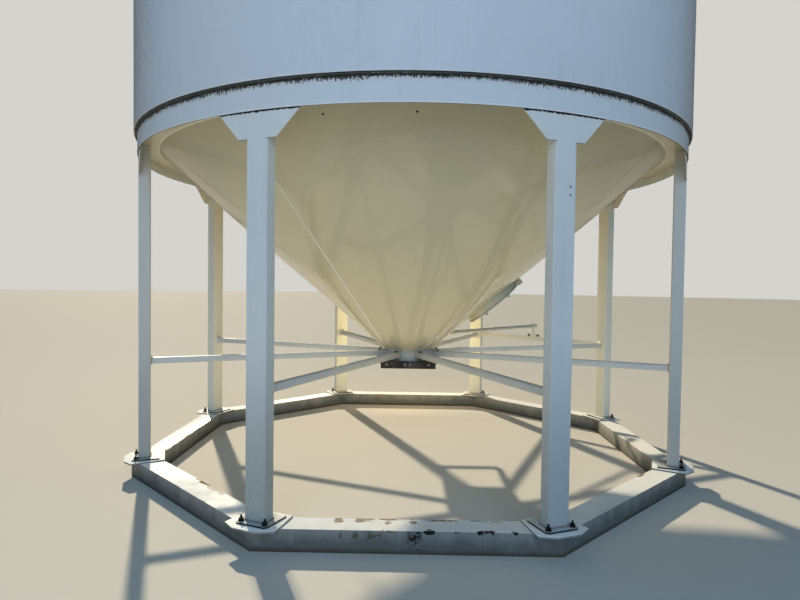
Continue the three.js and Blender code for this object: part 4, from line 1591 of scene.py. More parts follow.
@dataclass
class Tank:
    """The wall and its welds, and the roof with its collar and lid."""

    radius: float = 2.438
    bottom: float = WALL_BOTTOM
    course: float = COURSE
    courses: int = 4
    seam_azimuth: float = -7.2
    bead_width: float = 0.010
    bead_height: float = 0.0025
    end_gap: float = 0.001
    roof_slope: float = 0.577
    roof_thickness: float = 0.008
    roof_hole: float = 0.33
    eave: float = 2.498
    roof_gores: int = 16
    lap_start: float = 0.36
    lap_gap: float = 0.01
    handle_sunk: float = 0.05
    handle_aside: float = 0.17
    handle_half: float = 0.07
    handle_height: float = 0.055
    thickness: float = 0.008
    wave: float = 0.0009
    steps_round: int = 160
    rows_in_course: int = 8

    @property
    def top(self) -> float:
        """Height of the wall's top."""
        return self.bottom + self.courses * self.course

    def roof_height(self, radius: float) -> float:
        """Height of the roof's outside at a radius."""
        return self.top + 0.0003 + (self.radius - radius) * self.roof_slope + self.roof_thickness

    def wave_at(self, azimuth: float, height: float) -> float:
        """How far the rolled sheet stands off a true circle, none at its ends."""
        held = ease((height - self.bottom) / 0.4) * ease((self.top - height) / 0.4)
        return self.wave * held * noise.noise(polar(3.2, azimuth, height * 1.1))

    def wall_quarter(self, quarter: int) -> None:
        """Builds a rolled quarter of the wall, in place of the frame's.

        Args:
            quarter: which quarter, counted from the front right.
        """
        shape = Shape()
        edge = math.degrees(SHEET_GAP / self.radius)
        start = self.seam_azimuth + quarter * 90 + edge
        rows = self.courses * self.rows_in_course
        heights = [self.bottom + (self.top - self.bottom) * i / rows for i in range(rows + 1)]
        rings = []
        for k in range(self.steps_round + 1):
            azimuth = start + k * (90 - 2 * edge) / self.steps_round
            ring = [
                polar(self.radius + self.wave_at(azimuth, height), azimuth, height)
                for height in heights
            ]
            inner = self.radius - self.thickness
            ring += [polar(inner, azimuth, self.top), polar(inner, azimuth, self.bottom)]
            rings.append(ring)
        shape.loft(rings)
        place = CORNERS[quarter]
        shape.piece(f"wall_sheets_{place}", TANK_WHITE, instead_of=[f"wall_{place}"])

    def dress_nodes(self) -> None:
        """Finishes the roof."""
        dress([f"roof_{place}" for place in CORNERS], TANK_WHITE, smooth=20)
        dress(["roof_collar", "roof_lid"], TANK_WHITE, bevel=0.003)

    def level_welds(self) -> None:
        """The level weld between each two courses."""
        shape = Shape()
        for course in range(1, self.courses):
            height = self.bottom + course * self.course
            shape.sweep(
                circle(self.radius, height, 360), bead(self.bead_width, self.bead_height),
                outward, looped=True, size=ripple(course, 0.35),
            )
        shape.piece("wall_level_welds", TANK_WHITE)

    def upright_welds(self) -> None:
        """The upright welds of each course."""
        shape = Shape()
        steps = 40
        for course in range(self.courses):
            low = self.bottom + self.end_gap + course * self.course
            for quarter in range(4):
                azimuth = self.seam_azimuth + quarter * 90
                path = [
                    polar(self.radius, azimuth, low + i * (self.course - 2 * self.end_gap) / steps)
                    for i in range(steps + 1)
                ]
                shape.sweep(
                    path, bead(self.bead_width, self.bead_height), outward,
                    size=ripple(course * 4 + quarter, 0.35),
                )
        shape.piece("wall_upright_welds", TANK_WHITE)

    def roof_seams(self) -> None:
        """The standing laps between the roof's sheets."""
        shape = Shape()
        lean = Vector((self.roof_slope, 0, 1)).normalized()
        span = self.eave - (self.lap_start + self.lap_gap)
        steps = 24
        for gore in range(self.roof_gores):
            azimuth = self.seam_azimuth + gore * 360 / self.roof_gores
            up = facing(azimuth) @ lean
            path = []
            for i in range(steps + 1):
                radius = self.lap_start + span * i / steps
                path.append(polar(radius, azimuth, self.roof_height(radius)))
            shape.sweep(path, bead(0.022, 0.005), lambda _point, up=up: up, size=ripple(gore, 0.15))
        shape.piece("roof_seams", TANK_WHITE)

    def eave_roll(self) -> None:
        """The rolled edge that stiffens the eave."""
        shape = Shape()
        radius = self.eave - 0.009
        path = circle(radius, self.roof_height(radius) - self.roof_thickness / 2, 240)
        shape.sweep(path, round_bar(0.0075, 10), outward, looped=True)
        shape.piece("eave_roll", TANK_WHITE)

    def lid_handles(self) -> None:
        """The fill lid's two handles."""
        shape = Shape()
        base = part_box("roof_lid")[1].z - self.handle_sunk
        for side in (-1, 1):
            middle = side * self.handle_aside
            path = [
                Vector((middle, self.handle_half * across, base + self.handle_height * up))
                for across, up in arch(12)
            ]
            aside = Vector((side, 0, 0))
            shape.sweep(path, round_bar(BAR_RADIUS), lambda _point, aside=aside: aside)
        shape.piece("roof_lid_handles", ZINC)

    def collar_weld(self) -> None:
        """The roof collar's weld to the roof."""
        shape = Shape()
        radius = self.roof_hole - 0.0003
        path = circle(radius, self.roof_height(radius), 96)
        shape.sweep(
            path, bead(0.016, 0.008), lambda p: outward(p).normalized() + UP,
            looped=True, size=ripple(5, 0.3),
        )
        shape.piece("roof_collar_weld", TANK_WHITE)

    def make(self) -> None:
        """Builds and dresses the tank."""
        for quarter in range(4):
            self.wall_quarter(quarter)
        self.dress_nodes()
        self.level_welds()
        self.upright_welds()
        self.roof_seams()
        self.eave_roll()
        self.lid_handles()
        self.collar_weld()


@dataclass
class Band:
    """The skirt band under the wall, with the dirt packed under the lip."""

    face_radius: float = 2.4122
    lip_height: float = 2.7902
    steps: int = 1440

    def crust(self) -> None:
        """The irregular bead of dirt in the corner under the lip."""
        shape = Shape()
        rings = []
        for i in range(self.steps):
            azimuth = i * 360 / self.steps
            place = polar(1.0, azimuth, 0.0)
            coarse = noise.noise(place * 9.0)
            fine = noise.noise(place * 60.0)
            sharp = abs(noise.noise(place * 150.0))
            deep = max(0.0004, 0.0006 + 0.003 * coarse + 0.005 * fine + 0.010 * sharp ** 2)
            out = max(0.0012, 0.003 + 0.004 * coarse + 0.003 * fine)
            corners = (
                (-0.001, 0.0004), (out, 0.0004), (out * 0.72, -deep * 0.45), (0.0022, -deep),
                (-0.001, -deep * 1.05),
            )
            rings.append([
                polar(self.face_radius + aside, azimuth, self.lip_height + up)
                for aside, up in corners
            ])
        shape.loft(rings, looped=True)
        shape.piece("lip_crust", LIP_CRUST)

    def make(self) -> None:
        """Builds and dresses the band."""
        dress([f"skirt_{place}" for place in QUARTERS], BAND_WHITE)
        self.crust()


@dataclass(frozen=True)
class Crease:
    """A crease that handling left in the cone's sheets, between two places on it."""

    start_azimuth: float
    start_radius: float
    end_azimuth: float
    end_radius: float
    half_width: float = 0.055
    rise: float = 0.006

    def lift(self, azimuth: float, radius: float) -> float:
        """Works out the crease at one place.

        Args:
            azimuth: the azimuth in degrees.
            radius: distance from the silo's axis.

        Returns:
            How far the sheet is lifted.
        """
        start = polar(self.start_radius, self.start_azimuth, self.start_radius)
        run = polar(self.end_radius, self.end_azimuth, self.end_radius) - start
        place = polar(radius, azimuth, radius) - start
        share = place.dot(run) / run.length_squared
        if not 0 < share < 1:
            return 0.0
        off = (place - run * share).length / self.half_width
        return self.rise * ease(1 - off) * math.sin(math.pi * share) ** 0.6


@dataclass
class Hopper:
    """The cone of four rolled sheets turned out into a flat rim, with its seams and manhole."""

    apex: float = 0.7975
    slope: float = 0.8448
    thickness: float = 0.008
    low_radius: float = 0.223
    foot: float = 0.9853
    rim_radius: float = 2.4037
    rim_height: float = 2.700
    bend: float = 0.060
    first_seam: float = -33.75
    seam_start: float = 0.245
    steps_round: int = 140
    steps_up: int = 90
    lean: float = 0.12
    lean_ring: float = 1.2
    creases: tuple[Crease, ...] = (
        Crease(-28.0, 1.72, -42.1, 1.18),
        Crease(31.2, 1.63, 38.9, 1.29),
        Crease(38.9, 1.29, 52.0, 1.0, 0.05, 0.004),
        Crease(63.2, 1.84, 55.2, 1.63),
        Crease(73.6, 2.17, 69.6, 2.02),
        Crease(-47.8, 1.09, -49.1, 0.81),
        Crease(-24.0, 1.74, -12.1, 2.02, 0.10, 0.008),
        Crease(-12.1, 2.02, 0.6, 2.08, 0.05, 0.003),
        Crease(-62.0, 2.1, -57.0, 1.6),
        Crease(128.0, 1.9, 136.0, 1.3),
        Crease(-140.0, 1.8, -128.0, 1.2),
    )
    stud_azimuths: tuple[float, float] = (-14.3, 0.9)
    stud_ring: float = 2.187
    stud_size: float = 0.006
    wave: float = 0.0022
    fold: float = 0.0007
    manhole_radius: float = 0.79
    manhole_size: float = 0.2803

    def under(self, radius: float) -> float:
        """Height of the cone's underside at a radius."""
        return self.apex + self.slope * radius

    @property
    def normal(self) -> Vector:
        """The underside's outward normal for a generator along +X."""
        return Vector((self.slope, 0, -1)).normalized()

    @property
    def bend_profile(self) -> list[tuple[float, float]]:
        """Works out the bend from the cone into the rim.

        Returns:
            Radius and height pairs.
        """
        slant = math.atan(self.slope)
        corner = (self.rim_height - self.apex) / self.slope
        centre = corner + self.bend * math.tan(slant / 2)
        steps = 8
        turns = [slant * (1 - i / steps) for i in range(steps + 1)]
        return [
            (
                centre - self.bend * math.sin(turn),
                self.rim_height - self.bend * (1 - math.cos(turn)),
            )
            for turn in turns
        ]

    def drift(self, radius: float) -> float:
        """Degrees by which the joints between the sheets lean off a straight line to the outlet."""
        lean = math.asin(self.lean / self.lean_ring) - math.asin(self.lean / radius)
        return math.degrees(lean) * ease((2.2 - radius) / 0.5)

    def dent(self, azimuth: float, radius: float) -> float:
        """Works out the sheet's unevenness at one place.

        Args:
            azimuth: the azimuth in degrees.
            radius: distance from the silo's axis.

        Returns:
            How far the sheet stands off, along its outward normal.
        """
        inward = ease((radius - 0.35) / 0.5) * ease((2.19 - radius) / 0.15)
        place = polar(1.6, azimuth, radius * 0.8)
        broad = noise.noise(place * 1.3 + Vector((3.1, 0.4, 1.7))) * radius / 1.6
        drawn_out = polar(11.0, azimuth, radius * 0.35)
        folds = noise.noise(drawn_out + Vector((0.7, 2.2, 5.1)))
        near_rim = ease((radius - 1.0) / 0.9) * ease(0.5 + 2.2 * noise.noise(place * 0.8))
        creased = sum(crease.lift(azimuth, radius) for crease in self.creases)
        return inward * (self.wave * broad + self.fold * near_rim * folds + creased)

    def skin_point(self, azimuth: float, radius: float, offset: float) -> Vector:
        """Finds a point of the sheet.

        Args:
            azimuth: the azimuth in degrees.
            radius: distance from the silo's axis.
            offset: height above the underside.

        Returns:
            The point.
        """
        normal = facing(azimuth) @ self.normal
        base = polar(radius, azimuth, self.under(radius))
        return base + normal * self.dent(azimuth, radius) + Vector((0, 0, offset))

    def sheet(self, quarter: int) -> bpy.types.Object:
        """Builds a quarter of the cone, in place of the frame's.

        Args:
            quarter: which quarter, counted from the front.

        Returns:
            The piece.
        """
        shape = Shape()
        edge = math.degrees(SHEET_GAP / self.rim_radius)
        start = self.first_seam + quarter * 90 + edge
        rings = []
        bend = self.bend_profile
        span = bend[0][0] - self.low_radius
        radii = [self.low_radius + span * i / self.steps_up for i in range(self.steps_up)]
        flat = [
            (self.rim_radius - 0.004, self.rim_height),
            (self.rim_radius, self.rim_height + 0.001),
        ]
        for k in range(self.steps_round + 1):
            azimuth = start + k * (90 - 2 * edge) / self.steps_round
            ring = [
                self.skin_point(azimuth + self.drift(radius), radius, 0.0) for radius in radii
            ]
            ring += [polar(radius, azimuth, height) for radius, height in bend + flat]
            ring += [
                polar(radius, azimuth, height + self.thickness)
                for radius, height in reversed(bend + flat)
            ]
            ring += [
                self.skin_point(azimuth + self.drift(radius), radius, self.thickness)
                for radius in radii[:0:-1]
            ]
            turned = azimuth + self.drift(self.low_radius)
            tip = self.low_radius - self.thickness
            ring.append(polar(tip, turned, self.foot + self.thickness))
            ring.append(polar(tip, turned, self.foot))
            rings.append(ring)
        shape.loft(rings)
        place = QUARTERS[quarter]
        return shape.piece(f"hopper_sheets_{place}", CREAM, instead_of=[f"hopper_{place}"])

    def cut_manhole(self, sheet: bpy.types.Object) -> None:
        """Cuts the round hole for the manhole's ring.

        Args:
            sheet: the piece that is cut.
        """
        shape = Shape()
        axis = facing(90) @ self.normal
        centre = polar(self.manhole_radius, 90, self.under(self.manhole_radius))
        shape.turned(centre, axis, [(self.manhole_size, -0.15), (self.manhole_size, 0.15)], 64)
        cutter = shape.finished("manhole_cutter")
        cut = sheet.modifiers.new("manhole", "BOOLEAN")
        cut.object = cutter
        cut.operation = "DIFFERENCE"
        cut.solver = "EXACT"
        bpy.context.view_layer.update()
        seen = bpy.context.evaluated_depsgraph_get()
        result = bpy.data.meshes.new_from_object(sheet.evaluated_get(seen))
        sheet.modifiers.remove(cut)
        sheet.data = result
        data = cutter.data
        bpy.data.objects.remove(cutter)
        bpy.data.meshes.remove(data)

    def seams(self) -> None:
        """The welded seam between each two sheets, a little uneven along its length."""
        shape = Shape()
        end = self.bend_profile[0][0]
        steps = 192
        for k in range(4):
            azimuth = self.first_seam + k * 90
            path = []
            for i in range(steps + 1):
                radius = self.seam_start + (end - self.seam_start) * i / steps
                turned = azimuth + self.drift(radius)
                wander = 0.0015 * noise.noise(Vector((radius * 7, k * 3.3, 0)))
                side = facing(turned) @ Vector((0, wander, 0))
                path.append(self.skin_point(turned, radius, 0.0) + side)
            shape.sweep(path, bead(0.015, 0.0032), self.out_of, size=ripple(k, 0.3))
        # The seams take the lighter cream, a painted highlight.
        shape.piece("hopper_seams", SEAM_HIGHLIGHT_CREAM)

    def out_of(self, point: Vector) -> Vector:
        """The outward normal of the cone's underside at a point of it."""
        return facing(math.degrees(math.atan2(point.x, -point.y))) @ self.normal

    def studs(self) -> None:
        """Two small screw ends through the sheet near the rim."""
        shape = Shape()
        for azimuth in self.stud_azimuths:
            place = self.skin_point(azimuth, self.stud_ring, 0.0)
            shape.hex_bolt(place, self.out_of(place), self.stud_size, stud=0.006)
        shape.piece("hopper_studs", BLACK_BOLT)

    def foot_weld(self) -> None:
        """The weld between the cone and the outlet collar."""
        shape = Shape()
        shape.sweep(
            circle(self.low_radius, self.foot + 0.001, 120), bead(0.014, 0.006), outward,
            looped=True, size=ripple(2, 0.3),
        )
        shape.piece("hopper_foot_weld", CREAM)

    def make(self) -> None:
        """Builds and dresses the hopper."""
        for quarter, place in enumerate(QUARTERS):
            made = self.sheet(quarter)
            if place == "right":
                self.cut_manhole(made)
        self.seams()
        self.studs()
        self.foot_weld()


@dataclass
class Manhole:
    """The ring and lid on the right side of the cone, with gasket, bolts and handle."""

    ring: float = 0.28
    lid_radius: float = 0.288
    lid_bottom: float = 0.035
    lid_thickness: float = 0.008
    handle_place: float = 0.12
    handle_half: float = 0.075
    handle_height: float = 0.042
    bolt_angles: tuple[float, ...] = (-60, 0, 60, 120, -120)
    bolt_inset: float = 0.03
    bolt_size: float = 0.012
    hopper: Hopper = field(default_factory=Hopper)

    def frame_matrix(self) -> Matrix:
        """Sets the manhole's own frame, with Z out of the cone and X toward its outlet.

        Returns:
            The matrix from the manhole's frame to the silo's.
        """
        axis = self.hopper.normal
        radius = self.hopper.manhole_radius
        centre = Vector((radius, 0, self.hopper.under(radius)))
        side = Vector((0, 1, 0))
        down = side.cross(axis).normalized()
        columns = Matrix((down, side, axis)).transposed().to_4x4()
        return Matrix.Translation(centre) @ columns

    def gasket(self) -> None:
        """The rubber ring under the lid."""
        shape = Shape()
        path = [Vector((x, y, self.lid_bottom)) for x, y in round_bar(self.ring, 72)]
        outline = [
            (-0.005, 0.0005), (-0.005, -0.0035), (-0.003, -0.0042), (0.003, -0.0042),
            (0.005, -0.0035), (0.005, 0.0005),
        ]
        shape.sweep(path, outline, lambda _point: UP, looped=True)
        shape.move(self.frame_matrix())
        shape.piece("manhole_gasket", GASKET, Body.LID)

    def handle(self) -> None:
        """The bent bar that the lid is pulled by."""
        shape = Shape()
        foot = self.lid_bottom + self.lid_thickness - 0.004
        path = [
            Vector((
                self.handle_place, self.handle_half * across, foot + self.handle_height * up,
            ))
            for across, up in arch(16, HANDLE_POWER)
        ]
        shape.sweep(path, round_bar(BAR_RADIUS), lambda _point: Vector((1, 0, 0)))
        shape.move(self.frame_matrix())
        shape.piece("manhole_handle", LEG_WHITE, Body.LID)

    def bolts(self) -> None:
        """The bolts round the lid's rim."""
        shape = Shape()
        top = self.lid_bottom + self.lid_thickness
        for degrees in self.bolt_angles:
            turn = math.radians(degrees)
            ring = self.lid_radius - self.bolt_inset
            spot = Vector((math.cos(turn), math.sin(turn), 0)) * ring
            shape.hex_bolt(spot + Vector((0, 0, top)), UP, self.bolt_size, stud=0.012)
        shape.move(self.frame_matrix())
        shape.piece("manhole_bolts", PLATED_BOLT, Body.LID)

    def make(self) -> None:
        """Builds and dresses the manhole."""
        dress(["manhole_collar"], CREAM, bevel=0.0015)
        dress(["manhole_lid"], LEG_WHITE, bevel=0.0015)
        self.gasket()
        self.handle()
        self.bolts()


@dataclass
class Legs:
    """The eight legs with their gussets, foot welds and anchors."""

    circle: float = 2.357
    width: float = 0.150
    depth: float = 0.094
    corner: float = 0.012
    plate_top: float = PLATE_TOP
    anchor_spread: float = 0.087
    anchor_circle: float = 2.420
    washer: float = 0.0195
    nut: float = 0.0168
    stud: float = 0.0068
    stud_top: float = 0.038
    pitch: float = 0.0018
    face: float = 2.4034
    screw_size: float = 0.0045
    screw_aside: float = 0.034
    screw_heights: tuple[float, float] = (2.155, 2.204)

    def anchors(self, index: int) -> None:
        """The two anchors of a leg: a dished washer, a nut and the stud's threaded end.

        Args:
            index: which leg, counted from the front left.
        """
        shape = Shape()
        for side in (-1, 1):
            base = Vector((self.anchor_circle, side * self.anchor_spread, self.plate_top))
            shape.turned(base, UP, [
                (self.washer, 0.0), (self.washer, 0.0022), (self.nut, 0.0050), (0.012, 0.0055),
            ], 28)
            shape.turned(base + UP * 0.0052, UP, [
                (self.nut - 0.001, 0.0), (self.nut, 0.0012), (self.nut, 0.0118),
                (self.nut - 0.0022, 0.0140),
            ], 6)
            top = self.stud_top + 0.003 * noise.noise(Vector((index * 1.7, 4.4, side * 2.3)))
            thread = [(self.stud, 0.0185)]
            height = 0.0190
            while height < top - 0.003:
                groove = height + self.pitch / 2
                thread += [(self.stud, height), (self.stud * 0.88, groove)]
                height += self.pitch
            thread += [(self.stud, height), (self.stud * 0.86, top)]
            shape.turned(base, UP, thread, 16)
        shape.move(facing(leg_azimuth(index)))
        shape.piece(f"anchors_{LEG_NAMES[index]}", BLACK_BOLT)

    def screws(self) -> None:
        """Two small screw heads on the front right leg's face."""
        shape = Shape()
        for height in self.screw_heights:
            base = Vector((self.face, self.screw_aside, height))
            shape.hex_bolt(base, Vector((1, 0, 0)), self.screw_size, head=0.5)
        shape.move(facing(leg_azimuth(1)))
        shape.piece("leg_screws", BLACK_BOLT)

    def outline(self, grow: float) -> list[Vector]:
        """Works out the tube's outline in its own frame.

        Args:
            grow: the margin, below 0 to shrink it.

        Returns:
            The outline's points.
        """
        x, y = self.depth / 2 + grow, self.width / 2 + grow
        corner = self.corner + grow
        points = []
        for cx, cy, start in ((x, -y, -90), (x, y, 0), (-x, y, 90), (-x, -y, 180)):
            middle = Vector((cx - math.copysign(corner, cx), cy - math.copysign(corner, cy), 0))
            for step in range(5):
                turn = math.radians(start + step * 22.5)
                points.append(middle + Vector((math.cos(turn), math.sin(turn), 0)) * corner)
        return points

    def foot_weld(self, index: int) -> None:
        """The fillet weld round the tube on its base plate.

        Args:
            index: which leg, counted from the front left.
        """
        shape = Shape()
        low = self.outline(0.007)
        mid = self.outline(0.0042)
        high = self.outline(-0.0005)
        rings = []
        for k, (a, b, c) in enumerate(zip(low, mid, high)):
            bulge = 1 + 0.25 * noise.noise(Vector((k * 1.9, index * 5.1, 0)))
            corners = (
                (c, -0.0005), (a, -0.0005), (a, 0.0012), (b, 0.0052 * bulge), (c, 0.0085 * bulge),
            )
            rings.append([
                point + Vector((self.circle, 0, self.plate_top + height))
                for point, height in corners
            ])
        shape.loft(rings, looped=True)
        shape.move(facing(leg_azimuth(index)))
        shape.piece(f"foot_weld_{LEG_NAMES[index]}", LEG_WHITE)

    def make(self) -> None:
        """Builds and dresses the legs."""
        dress([f"leg_{name}" for name in LEG_NAMES], LEG_WHITE)
        for index in range(SIDES):
            self.anchors(index)
            self.foot_weld(index)
        self.screws()


@dataclass
class Braces:
    """The spokes to the outlet, the side brace and the pipe, with their bolts."""

    middle: float = 0.952
    half: float = 0.025
    inner: float = 0.2233
    side_azimuth: float = 135
    side_apothem: float = 2.1776
    side_middle: float = 0.957
    pipe_height: float = 1.112
    pipe_radius: float = 0.0185
    bolt_inset: float = 0.075
    bolt_size: float = 0.0125
    bracket_bolt_aside: float = 0.062
    bracket_bolt_up: float = 0.018
    bracket_bolt_size: float = 0.011
    collars: tuple[tuple[float, float, float], ...] = (
        (2.095, 0.03, 0.026), (0.62, 0.05, 0.0235), (1.35, 0.05, 0.0235),
    )

    def spoke_bolts(self, index: int) -> None:
        """A through bolt near a spoke's inner end, with its nut below.

        Args:
            index: which leg, counted from the front left.
        """
        shape = Shape()
        top = Vector((self.inner + self.bolt_inset, 0.0, self.middle + self.half))
        shape.hex_bolt(top, UP, self.bolt_size)
        low = Vector((top.x, 0.0, self.middle - self.half))
        shape.hex_bolt(low, -UP, self.bolt_size, stud=0.010)
        shape.move(facing(leg_azimuth(index)))
        shape.piece(f"spoke_bolts_{LEG_NAMES[index]}", BLACK_BOLT)

    def end_weld(self, index: int) -> None:
        """The weld where a spoke meets the outlet collar.

        Args:
            index: which leg, counted from the front left.
        """
        shape = Shape()
        inner = self.inner + 0.0005
        reach = self.half
        square = [(-reach, -reach), (reach, -reach), (reach, reach), (-reach, reach)]
        path = []
        steps = 6
        for (y0, z0), (y1, z1) in zip(square, square[1:] + square[:1]):
            for step in range(steps):
                share = step / steps
                height = self.middle + z0 + (z1 - z0) * share
                path.append(Vector((inner, y0 + (y1 - y0) * share, height)))
        centre = Vector((inner, 0, self.middle))
        shape.sweep(
            path, bead(0.010, 0.004), lambda p: (p - centre).normalized() + Vector((0.6, 0, 0)),
            looped=True, size=ripple(index, 0.3),
        )
        shape.move(facing(leg_azimuth(index)))
        shape.piece(f"spoke_weld_{LEG_NAMES[index]}", BRACE_WHITE)

    def bracket_bolts(self) -> None:
        """The bolts of the bracket on the side brace."""
        shape = Shape()
        face = self.side_apothem - self.half
        for side in (-1, 1):
            height = self.side_middle + self.half + self.bracket_bolt_up
            base = Vector((face, side * self.bracket_bolt_aside, height))
            shape.hex_bolt(base, Vector((-1, 0, 0)), self.bracket_bolt_size, stud=0.006)
        shape.move(facing(self.side_azimuth))
        shape.piece("bracket_bolts", BLACK_BOLT)

    def pipe_collars(self) -> None:
        """A set collar on the pipe by its strap, and two sockets, by start, width and radius."""
        shape = Shape()
        edge = 0.002
        for start, width, radius in self.collars:
            shape.turned(Vector((start, 0, self.pipe_height)), Vector((1, 0, 0)), [
                (self.pipe_radius, 0.0), (radius - edge, 0.0), (radius, edge),
                (radius, width - edge), (radius - edge, width), (self.pipe_radius, width),
            ], 24)
        shape.move(facing(self.side_azimuth))
        shape.piece("pipe_collars", ZINC)

    def make(self) -> None:
        """Builds and dresses the braces."""
        dress([f"spoke_{name}" for name in LEG_NAMES], BRACE_WHITE, bevel=0.004)
        dress(["side_brace"], BRACE_WHITE, bevel=0.002)
        dress(["hopper_pipe"], ZINC)
        for index in range(SIDES):
            self.spoke_bolts(index)
            self.end_weld(index)
        self.bracket_bolts()
        self.pipe_collars()


@dataclass
class Gate:
    """The outlet collar, the slide gate's frame and the slide with its handle."""

    half: float = 0.255
    bolt_height: float = 0.8600
    bolt_size: float = 0.0095
    front_bolts: tuple[float, ...] = (-0.20, -0.03, 0.02, 0.19)
    side_bolts: tuple[float, ...] = (-0.19, 0.0, 0.19, 0.45, 0.72)
    handle_level: float = 0.901
    handle_half: float = 0.048
    handle_reach: float = 0.05

    def frame_bolts(self) -> None:
        """Plated bolts round the frame."""
        shape = Shape()
        for place in self.front_bolts:
            base = Vector((place, -self.half, self.bolt_height))
            shape.hex_bolt(base, Vector((0, -1, 0)), self.bolt_size)
        for side in (-1, 1):
            for place in self.side_bolts:
                base = Vector((side * self.half, place, self.bolt_height))
                shape.hex_bolt(base, Vector((side, 0, 0)), self.bolt_size)
        shape.piece("gate_bolts", PLATED_BOLT)

    def handle(self) -> None:
        """The pull bar welded to the slide's lug."""
        shape = Shape()
        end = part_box("gate_slide")[1].y - 0.002
        path = [
            Vector((self.handle_half * across, end + self.handle_reach * out, self.handle_level))
            for across, out in arch(16, HANDLE_POWER)
        ]
        shape.sweep(path, round_bar(BAR_RADIUS), lambda _point: UP)
        shape.piece("gate_handle", ZINC, Body.GATE)

    def make(self) -> None:
        """Builds and dresses the gate."""
        dress(["outlet_collar"], BRACE_WHITE, bevel=0.001)
        dress(["gate_frame"], GATE_STEEL, bevel=0.0012)
        dress(["gate_slide"], ZINC, bevel=0.001)
        self.frame_bolts()
        self.handle()


@dataclass
class BaseRing:
    """The eight base beams with their pads."""

    def make(self) -> None:
        """Dresses the ring."""
        dress([f"base_beam_{name}" for name in BEAM_NAMES], BASE_WHITE, bevel=0.004)


@dataclass
class Ladder:
    """The outside ladder, from over the legs to above the eave."""

    def make(self) -> None:
        """Dresses the ladder."""
        dress(["ladder"], ZINC)


@dataclass
class PhotoCamera:
    """The camera where the photograph was taken."""

    place: tuple[float, float, float] = (0.0, -5.797, 1.623)
    yaw: float = -0.0151
    pitch: float = -0.0293
    roll: float = 0.01275
    focal_pixels: float = 598.63
    sensor: float = 36.0

    def make(self) -> None:
        """Builds the camera and makes it the scene's own."""
        data = bpy.data.cameras.new("photo_camera")
        data.sensor_width = self.sensor
        data.lens = self.sensor * self.focal_pixels / PHOTO_WIDTH
        data.clip_end = 200
        made = into_scene("photo_camera", data)
        ahead = Vector((
            math.sin(self.yaw) * math.cos(self.pitch),
            math.cos(self.yaw) * math.cos(self.pitch),
            math.sin(self.pitch),
        ))
        right = Vector((math.cos(self.yaw), -math.sin(self.yaw), 0))
        up = right.cross(ahead)
        level = right * math.cos(self.roll) + up * math.sin(self.roll)
        upright = up * math.cos(self.roll) - right * math.sin(self.roll)
        turn = Matrix((level, upright, -ahead)).transposed().to_4x4()
        made.matrix_world = Matrix.Translation(self.place) @ turn
        bpy.context.scene.camera = made


@dataclass(frozen=True)
class Panel:
    """A glowing panel that the camera and glossy surfaces don't see."""

    colour: Colour
    power: float
    size: float
    place: tuple[float, float, float]
    aim: tuple[float, float, float]
    shape: str = "SQUARE"


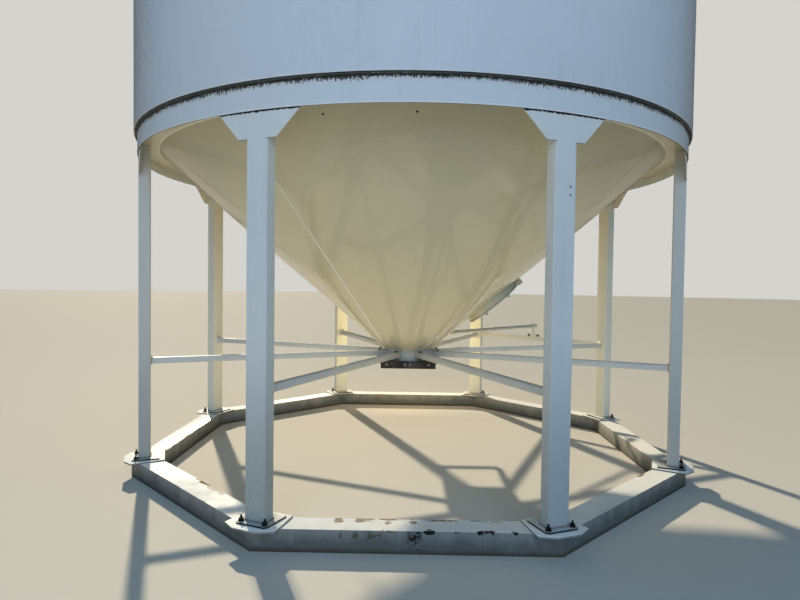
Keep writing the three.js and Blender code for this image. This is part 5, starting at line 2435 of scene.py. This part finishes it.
@dataclass
class Studio:
    """Plain pale floor and soft light."""

    floor_radius: float = 90.0
    floor_drop: float = 0.0005
    backdrop: Colour = (0.66, 0.65, 0.62)
    side_sky: Colour = (0.03, 0.14, 0.26)
    back_sky: Colour = (0.05, 0.04, 0.03)
    key: Colour = (1.0, 0.89, 0.69)
    key_strength: float = 4.2
    key_spread: float = 1.5
    key_azimuth: float = -157.4
    key_elevation: float = 30.0
    panels: tuple[Panel, ...] = (
        Panel((0.64, 0.78, 1.0), 1030.0, 10.0, (0.5, -15.0, 8.5), (-0.5, 15.0, -5.5)),
        Panel((1.0, 0.82, 0.42), 11.0, 0.5, (0.0, 1.3, 1.02), (0.0, 1.0, 0.08)),
        Panel((1.0, 0.83, 0.42), 19.0, 4.0, (0.0, 0.0, 0.012), (0.0, 0.0, 1.0), "DISK"),
    )

    def floor(self) -> None:
        """A broad pale disc."""
        shape = Shape()
        count = 64
        radii = (0.5, 12.0, self.floor_radius)
        rings = [circle(radius, -self.floor_drop, count) for radius in radii]
        shape.loft(rings, capped=False)
        shape.mesh.faces.new(shape.mesh.verts[:count])
        made = shape.finished("floor")
        made.data.materials.append(FLOOR.material())

    def lamp(
        self, kind: str, colour: Colour, power: float, place: Vector, aim: Vector
    ) -> bpy.types.Object:
        """A lamp that the camera doesn't see.

        Args:
            kind: Blender's name for its type.
            colour: its colour.
            power: its strength.
            place: where it stands.
            aim: the way that it shines.

        Returns:
            The lamp's object.
        """
        lamp = bpy.data.lights.new("lamp", kind)
        lamp.color = colour
        lamp.energy = power
        made = into_scene("lamp", lamp)
        made.location = place
        made.rotation_mode = "QUATERNION"
        made.rotation_quaternion = (-aim).to_track_quat("Z", "Y")
        made.visible_camera = False
        return made

    def sky(self) -> None:
        """Dim cool light from the sides and warm from behind, before a pale backdrop."""
        world = bpy.data.worlds.new("studio")
        bpy.context.scene.world = world
        world.use_nodes = True
        nodes = Nodes(world.node_tree)
        glow = world.node_tree.nodes["Background"]
        toward = nodes.split(nodes.add("ShaderNodeTexCoord").outputs["Generated"])
        back = nodes.fade(toward[1], 0.1, 0.7)
        light = nodes.mix(back, self.side_sky, self.back_sky)
        seen = nodes.add("ShaderNodeLightPath").outputs["Is Camera Ray"]
        nodes.feed(glow.inputs[0], nodes.mix(seen, light, self.backdrop))

    def light(self) -> None:
        """A low key from behind on the left, a cool fill in front and two warm glows inside."""
        level = math.cos(math.radians(self.key_elevation))
        source = polar(level, self.key_azimuth, math.sin(math.radians(self.key_elevation)))
        key = self.lamp("SUN", self.key, self.key_strength, source, -source)
        key.data.angle = math.radians(self.key_spread)
        for panel in self.panels:
            place, aim = Vector(panel.place), Vector(panel.aim)
            made = self.lamp("AREA", panel.colour, panel.power, place, aim)
            made.data.shape = panel.shape
            made.data.size = panel.size
            made.visible_glossy = False

    def make(self) -> None:
        """Builds the studio."""
        self.floor()
        self.sky()
        self.light()


PARTS = (Tank, Band, Hopper, Manhole, Legs, Braces, Gate, BaseRing, Ladder)


def main() -> None:
    """Builds every part of the scene in order."""
    logging.basicConfig(level=logging.INFO)
    bpy.context.scene.view_settings.view_transform = "Standard"
    PhotoCamera().make()
    Studio().make()
    for part in PARTS:
        part().make()
        LOG.info("%s done", part.__name__)


if __name__ == "__main__":
    main()
